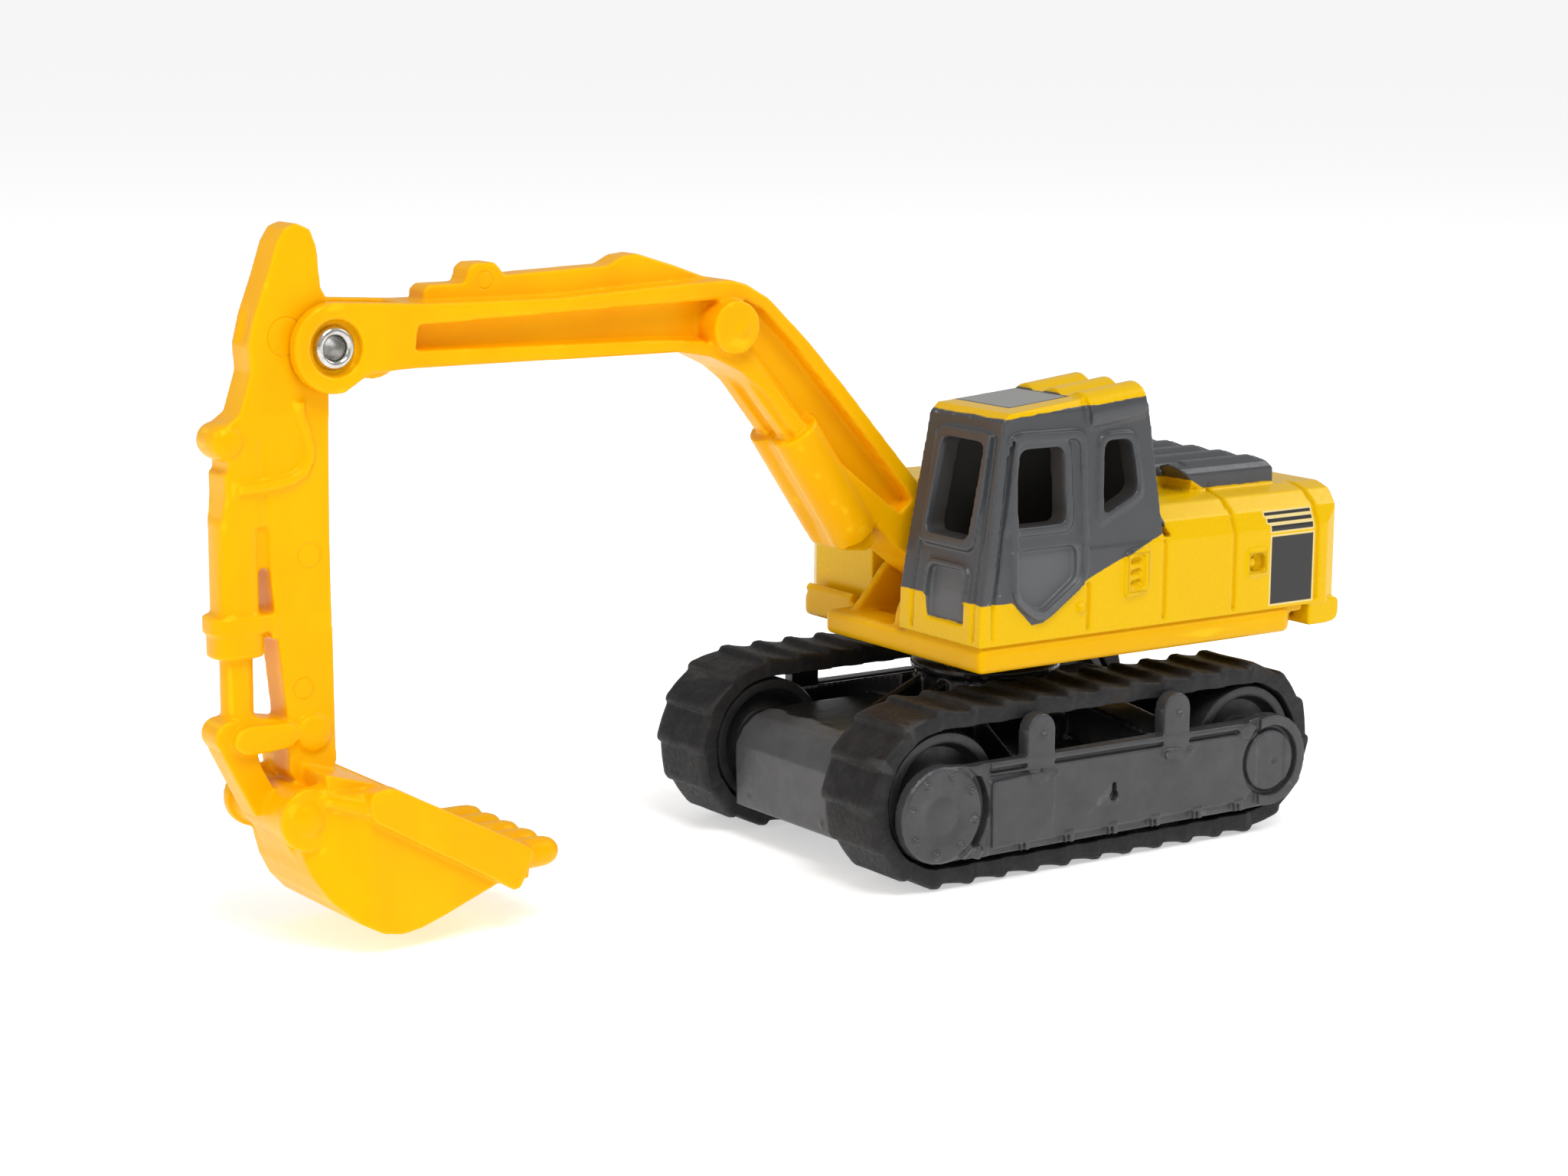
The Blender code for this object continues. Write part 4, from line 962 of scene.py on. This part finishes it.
def track_frame_piece(hand, side):
    out = side * FRAME_OUT
    front = (FRAME_END_X, 0, FRAME_END_Z)
    rear = (-FRAME_END_X, 0, FRAME_END_Z)

    def proud(amount):
        return out + side * amount

    def span(a, b):
        return sorted((proud(a), proud(b)))

    ground = proud(-0.24)
    steps = Steps()
    steps.cut(box((-14.5, 10.3), sorted((ground, proud(1.0))), (1.0, 12.0)))
    crescent = turned([(3.0, proud(-0.9)), (3.6, proud(-0.9)), (3.6, proud(0.6)), (3.0, proud(0.6))],
                      front, "Y", 40)
    steps.cut(shaped(crescent, [("&", box((5.0, 10.9), (-14.0, 14.0), (2.75, 7.1)))]))
    dish = [(0, proud(-0.6)), (2.98, proud(-0.6)), (2.98, proud(-0.2)), (2.8, proud(-0.06))]
    dish += [(1.9, proud(-0.06)), (1.2, proud(-0.16)), (0.8, proud(-0.08)), (0, proud(0.0))]
    disc_room = rod(front, 3.3, *span(-0.2, 1.0), "Y", 40)
    steps.cut(shaped(disc_room, [("&", box((9, 17), (-14, 14), (1, 9)))]))
    steps.add(turned(dish, front, "Y", 48))
    for i in range(8):
        angle = math.radians(45 * i + 12)
        stud = (front[0] + 2.42 * math.cos(angle), 0, front[2] + 2.42 * math.sin(angle))
        steps.add(dome(stud, 0.27, proud(-0.02), proud(0.26), "Y", 12))

    panel = [(9.55, 6.6), (9.5, 2.45), (-11.2, 2.6), (-12.1, 3.4)]
    panel += [(-12.1, 6.1), (-11.4, 6.9), (4.8, 6.9), (6.6, 6.62)]
    steps.add(skin(rounded(panel, 0.25), *span(-0.5, -0.04)))
    steps.add(skin([(9.5, 6.6), (9.5, 2.5), (4.85, 2.5), (4.7, 6.8)], *span(-0.5, 0.08)))
    for low_z, high_z, out_by in ((6.98, 7.12, -0.02), (7.42, 7.8, 0.0)):
        ledge = [(9.6, low_z), (9.6, high_z), (-11.5, high_z - 0.12), (-11.5, low_z - 0.12)]
        steps.add(skin(ledge, *span(-0.6, out_by)))
    for x in TABS_X:
        tab = [(x - 1.05, 6.9), (x + 1.05, 6.9)] + arc((x, 9.3), 1.05, 0, 180, 12)
        steps.add(skin(tab, *span(-0.6, -0.02)))
        steps.add(dome((x - 0.15, 0, 8.98), 0.28, proud(-0.1), proud(0.22), "Y", 12))
        latch = [(x - 0.35, 6.15), (x + 1.1, 6.3), (x + 1.05, 6.8), (x - 0.3, 6.75)]
        steps.add(skin(rounded(latch, 0.2), *span(-0.3, 0.24)))
        steps.add(dome((x - 1.1, 0, 6.5), 0.26, proud(-0.1), proud(0.14), "Y", 12))
    key = [(-0.35, 5.3), (0.0, 5.3), (0.0, 4.6), (-0.35, 4.6)]
    steps.cut(skin(rounded(key, 0.15), *span(-0.6, 0.6)))
    steps.cut(rod((-0.17, 0, 4.45), 0.34, *span(-0.6, 0.6), "Y", 16))
    for i in range(6):
        x = 6.9 - 3.51 * i
        steps.add(box((x - 0.34, x + 0.34), span(-0.6, 0.02), (2.0, 2.72)))
        steps.cut(box((x - 0.02, x + 0.24), span(-0.25, 0.3), (1.6, 2.5)))
    steps.add(dome((10.25, 0, 2.4), 0.26, proud(-0.5), proud(0.05), "Y", 12))
    rim = [(2.3, proud(-0.7)), (2.95, proud(-0.7)), (2.95, proud(0.08)), (2.3, proud(0.08))]
    rim = turned(rim, rear, "Y", 48)
    steps.add(shaped(rim, [("&", box((-17.0, -12.3), (-14.0, 14.0), (1.0, 9.0)))]))
    gutter = [(1.95, proud(-0.42)), (2.3, proud(-0.42)), (2.3, proud(0.5)), (1.95, proud(0.5))]
    steps.cut(turned(gutter, rear, "Y", 48))
    steps.add(rod(rear, 1.97, *span(-0.7, -0.08), "Y", 40))
    steps.cut(dome((rear[0] - 0.4, 0, rear[2]), 0.5, proud(0.3), proud(-0.2), "Y", 16))
    mark = [(-10.6, 6.7), (-11.3, 6.6), (-11.9, 7.4), (-11.3, 7.75), (-10.4, 7.5)]
    steps.add(skin(mark, *span(-0.4, 0.14)))
    piece = shaped(cad_copy("track_frame_" + hand), steps)
    return moulded(piece, *FRAME_MOULD)


def belt_point(radius, offset):
    """A point and its travel on the belt's loop, at a radius from the wheel centres."""
    straight = 2 * AXLE_X
    curve = math.pi * BELT_R
    offset = offset % (2 * straight + 2 * curve)
    if offset < straight:
        return (-AXLE_X + offset, AXLE_Z + radius)
    offset -= straight
    if offset < curve:
        angle = math.pi / 2 - offset / BELT_R
        return (AXLE_X + radius * math.cos(angle), AXLE_Z + radius * math.sin(angle))
    offset -= curve
    if offset < straight:
        return (AXLE_X - offset, AXLE_Z - radius)
    angle = -math.pi / 2 - (offset - straight) / BELT_R
    return (-AXLE_X + radius * math.cos(angle), AXLE_Z + radius * math.sin(angle))


def belt_piece(side):
    """Rubber belt: saw-tooth plates with soft crests, raised inner guide ribs and worn edges."""
    random = np.random.default_rng(7 if side > 0 else 11)
    length = 4 * AXLE_X + 2 * math.pi * BELT_R
    pitch = length / LUG_COUNT
    tooth = ((0.0, 0.20), (0.12, 0.22), (0.34, 0.30), (0.55, 0.40), (0.66, 0.47), (0.74, 0.54),
             (0.82, 0.55), (0.88, 0.50), (0.92, 0.34), (0.95, 0.22))
    stations = ((BELT_IN, 0.55), (BELT_IN + 0.14, 0.86), (BELT_IN + 0.5, 1.0), (8.1, 0.97), (9.1, 0.95),
                (10.1, 0.97), (BELT_OUT - 0.5, 1.0), (BELT_OUT - 0.14, 0.86), (BELT_OUT, 0.55))
    bm = bmesh.new()
    rings = []
    for lug in range(LUG_COUNT):
        wear = random.uniform(0.92, 1.0, len(stations))
        for share, height in tooth:
            offset = (lug + share) * pitch
            ring = []
            for (y, scale), worn in zip(stations, wear):
                radius = BELT_R - 0.2 * (1 - scale) + height * scale * worn
                x, z = belt_point(radius, offset)
                ring.append(bm.verts.new((x, side * y, max(z, 0.0))))
            guide = 0.16 if 0.3 < share < 0.8 else 0.0
            for y in (BELT_OUT - 0.1, 9.75, 9.65, 8.6, 8.5, BELT_IN + 0.1):
                x, z = belt_point(BELT_INNER_R + guide * 0.3, offset)
                ring.append(bm.verts.new((x, side * y, z)))
            rings.append(ring)
    for i, first in enumerate(rings):
        second = rings[(i + 1) % len(rings)]
        for k in range(len(first)):
            j = (k + 1) % len(first)
            bm.faces.new((first[k], first[j], second[j], second[k]))
    piece = finish(bm, "belt")
    bevel = piece.modifiers.new("edges", "BEVEL")
    bevel.width = 0.05
    bevel.segments = 1
    bevel.angle_limit = math.radians(42)
    return settled(piece)


def wheel_piece(end, side):
    bore = 0.74
    outer, inner = BELT_OUT - 0.35, BELT_IN + 0.25
    profile = [(bore, inner), (1.7, inner), (1.78, inner + 0.12), (1.95, inner + 0.85)]
    profile += [(2.1, inner + 0.95), (3.0, inner + 0.95), (3.25, inner + 0.8)]
    profile += [(3.45, inner + 0.05), (3.6, inner), (4.0, inner + 0.05)]
    profile += [(4.1, inner + 0.2), (4.1, 8.9), (4.02, 9.0), (4.02, 9.25), (4.1, 9.35)]
    profile += [(4.1, outer - 0.2)]
    profile += [(4.0, outer - 0.05), (3.55, outer), (3.4, outer - 0.08), (3.2, outer - 0.7)]
    profile += [(3.05, outer - 0.82), (2.1, outer - 0.82), (1.9, outer - 0.74)]
    profile += [(1.72, outer - 0.3), (1.6, outer - 0.2), (bore, outer - 0.2)]
    if side < 0:
        profile = [(radius, -height) for radius, height in profile]
    return turned(profile, (end * AXLE_X, 0, AXLE_Z), "Y", 56)


def arm_rivet_piece():
    """Tubular rivet: rolled lip, polished bore and a clenched far end."""
    profile = [(0.66, -1.7), (0.66, 1.72), (0.70, 1.92), (0.80, 2.06), (0.93, 2.1)]
    profile += [(1.08, 2.05), (1.18, 1.93), (1.24, 1.78), (1.2, 1.72), (0.95, 1.7)]
    profile += [(0.95, -1.7), (1.22, -1.74), (1.26, -1.86), (1.15, -2.0)]
    profile += [(0.92, -2.08), (0.76, -1.98)]
    return turned(profile, (ARM_PIVOT[0], 0, ARM_PIVOT[1]), "Y", 56)


def build_pieces():
    moulding = moulding_look("boom_plastic", YELLOW_THIN, YELLOW_DEEP, [(37.5, 37.1, 0.5)])
    arm_plastic = moulding_look("arm_plastic", YELLOW_THIN, YELLOW_DEEP,
                                [(50.1, 34.6, 1.05), (48.9, 22.4, 0.7), (49.4, 14.9, 0.6)])
    deck_plastic = moulding_look("deck_plastic", (0.80, 0.43, 0.0), (0.76, 0.39, 0.0))
    enamel = casting_look()
    grey = grey_plastic_look("undercarriage_plastic", (0.032, 0.033, 0.035), (0.050, 0.051, 0.054))
    wheel_black = grey_plastic_look("wheel_plastic", (0.012, 0.012, 0.013), (0.022, 0.022, 0.023))
    rubber = rubber_look()
    steel = steel_look()

    place(casting_piece(), "body_shell", "upper", enamel, "body_casting")
    place(deck_piece(), "deck_plate", "upper", deck_plastic, "deck")
    place(boom_piece(), "boom_moulding", "boom", moulding, "boom")
    place(arm_piece(), "arm_moulding", "arm", arm_plastic, "arm_and_bucket")
    place(chassis_piece(), "chassis_moulding", "undercarriage", chassis_look(), "chassis")
    for hand, side in (("left", 1), ("right", -1)):
        frame_piece = track_frame_piece(hand, side)
        place(frame_piece, "side_frame_" + hand, "undercarriage", grey, "track_frame_" + hand)
        place(belt_piece(side), "belt_" + hand, "undercarriage", rubber, "track_belt_" + hand, 38)
        for word, end in (("front", 1), ("rear", -1)):
            node = "wheel_" + word + "_" + hand
            place(wheel_piece(end, side), node + "_turned", word + "_axle", wheel_black, node, 35)
    place(arm_rivet_piece(), "arm_rivet_sleeve", "boom", steel, "arm_rivet", 40)

    metal = ["axle_front", "axle_rear", "boom_pin", "chassis_rivet_front", "chassis_rivet_rear",
             "slew_rivet", "slew_washer", "deck_rivet_front", "deck_rivet_rear"]
    for node in ["chassis_base"] + metal:
        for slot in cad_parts[node].material_slots:
            slot.material = steel if node in metal else grey


# Setting --------------------------------------------------------------------------


def build_floor():
    bm = bmesh.new()
    bmesh.ops.create_grid(bm, x_segments=1, y_segments=1, size=12.0)
    mesh = bpy.data.meshes.new("floor")
    bm.to_mesh(mesh)
    bm.free()
    floor = bpy.data.objects.new("floor", mesh)
    bpy.context.scene.collection.objects.link(floor)
    look = Look("floor_paper")
    look.set(Base_Color=(0.90, 0.90, 0.90), Roughness=0.75)
    look.set(Emission_Color=(1.0, 1.0, 1.0), Emission_Strength=0.50)
    floor.data.materials.append(look.material)
    floor.location.z = -FLOOR_DROP


def area_light(name, place_at, aim, size, power):
    data = bpy.data.lights.new(name, "AREA")
    data.shape = "DISK"
    data.size = size
    data.energy = power
    lamp = bpy.data.objects.new(name, data)
    bpy.context.scene.collection.objects.link(lamp)
    lamp.location = place_at
    lamp.rotation_euler = (Vector(aim) - Vector(place_at)).to_track_quat("-Z", "Y").to_euler()


def build_lights():
    world = bpy.data.worlds.new("studio")
    bpy.context.scene.world = world
    world.use_nodes = True
    sky = world.node_tree.nodes["Background"]
    sky.inputs["Color"].default_value = (1.0, 1.0, 1.0, 1.0)
    sky.inputs["Strength"].default_value = 0.46
    middle = (0, 0, 0.015)
    area_light("key", (0.10, 0.30, 0.46), middle, 0.24, 1.45)
    area_light("fill", (0.45, 0.05, 0.20), middle, 0.20, 0.32)
    area_light("back", (-0.36, 0.10, 0.30), middle, 0.20, 0.45)


def build_camera():
    data = bpy.data.cameras.new("camera")
    data.lens = LENS_MM
    data.sensor_width = SENSOR_MM
    data.clip_start = 0.01
    data.clip_end = 20.0
    camera = bpy.data.objects.new("camera", data)
    bpy.context.scene.collection.objects.link(camera)
    eye = TO_WORLD @ Vector(EYE)
    forward = Vector(SIGHT).normalized()
    roll = math.radians(ROLL_DEGREES)
    turn = forward.to_track_quat("-Z", "Y").to_matrix().to_4x4() @ Matrix.Rotation(roll, 4, "Z")
    camera.matrix_world = Matrix.Translation(eye) @ turn
    bpy.context.scene.camera = camera


bpy.context.scene.view_settings.view_transform = "Standard"
build_camera()
build_pieces()
build_floor()
build_lights()
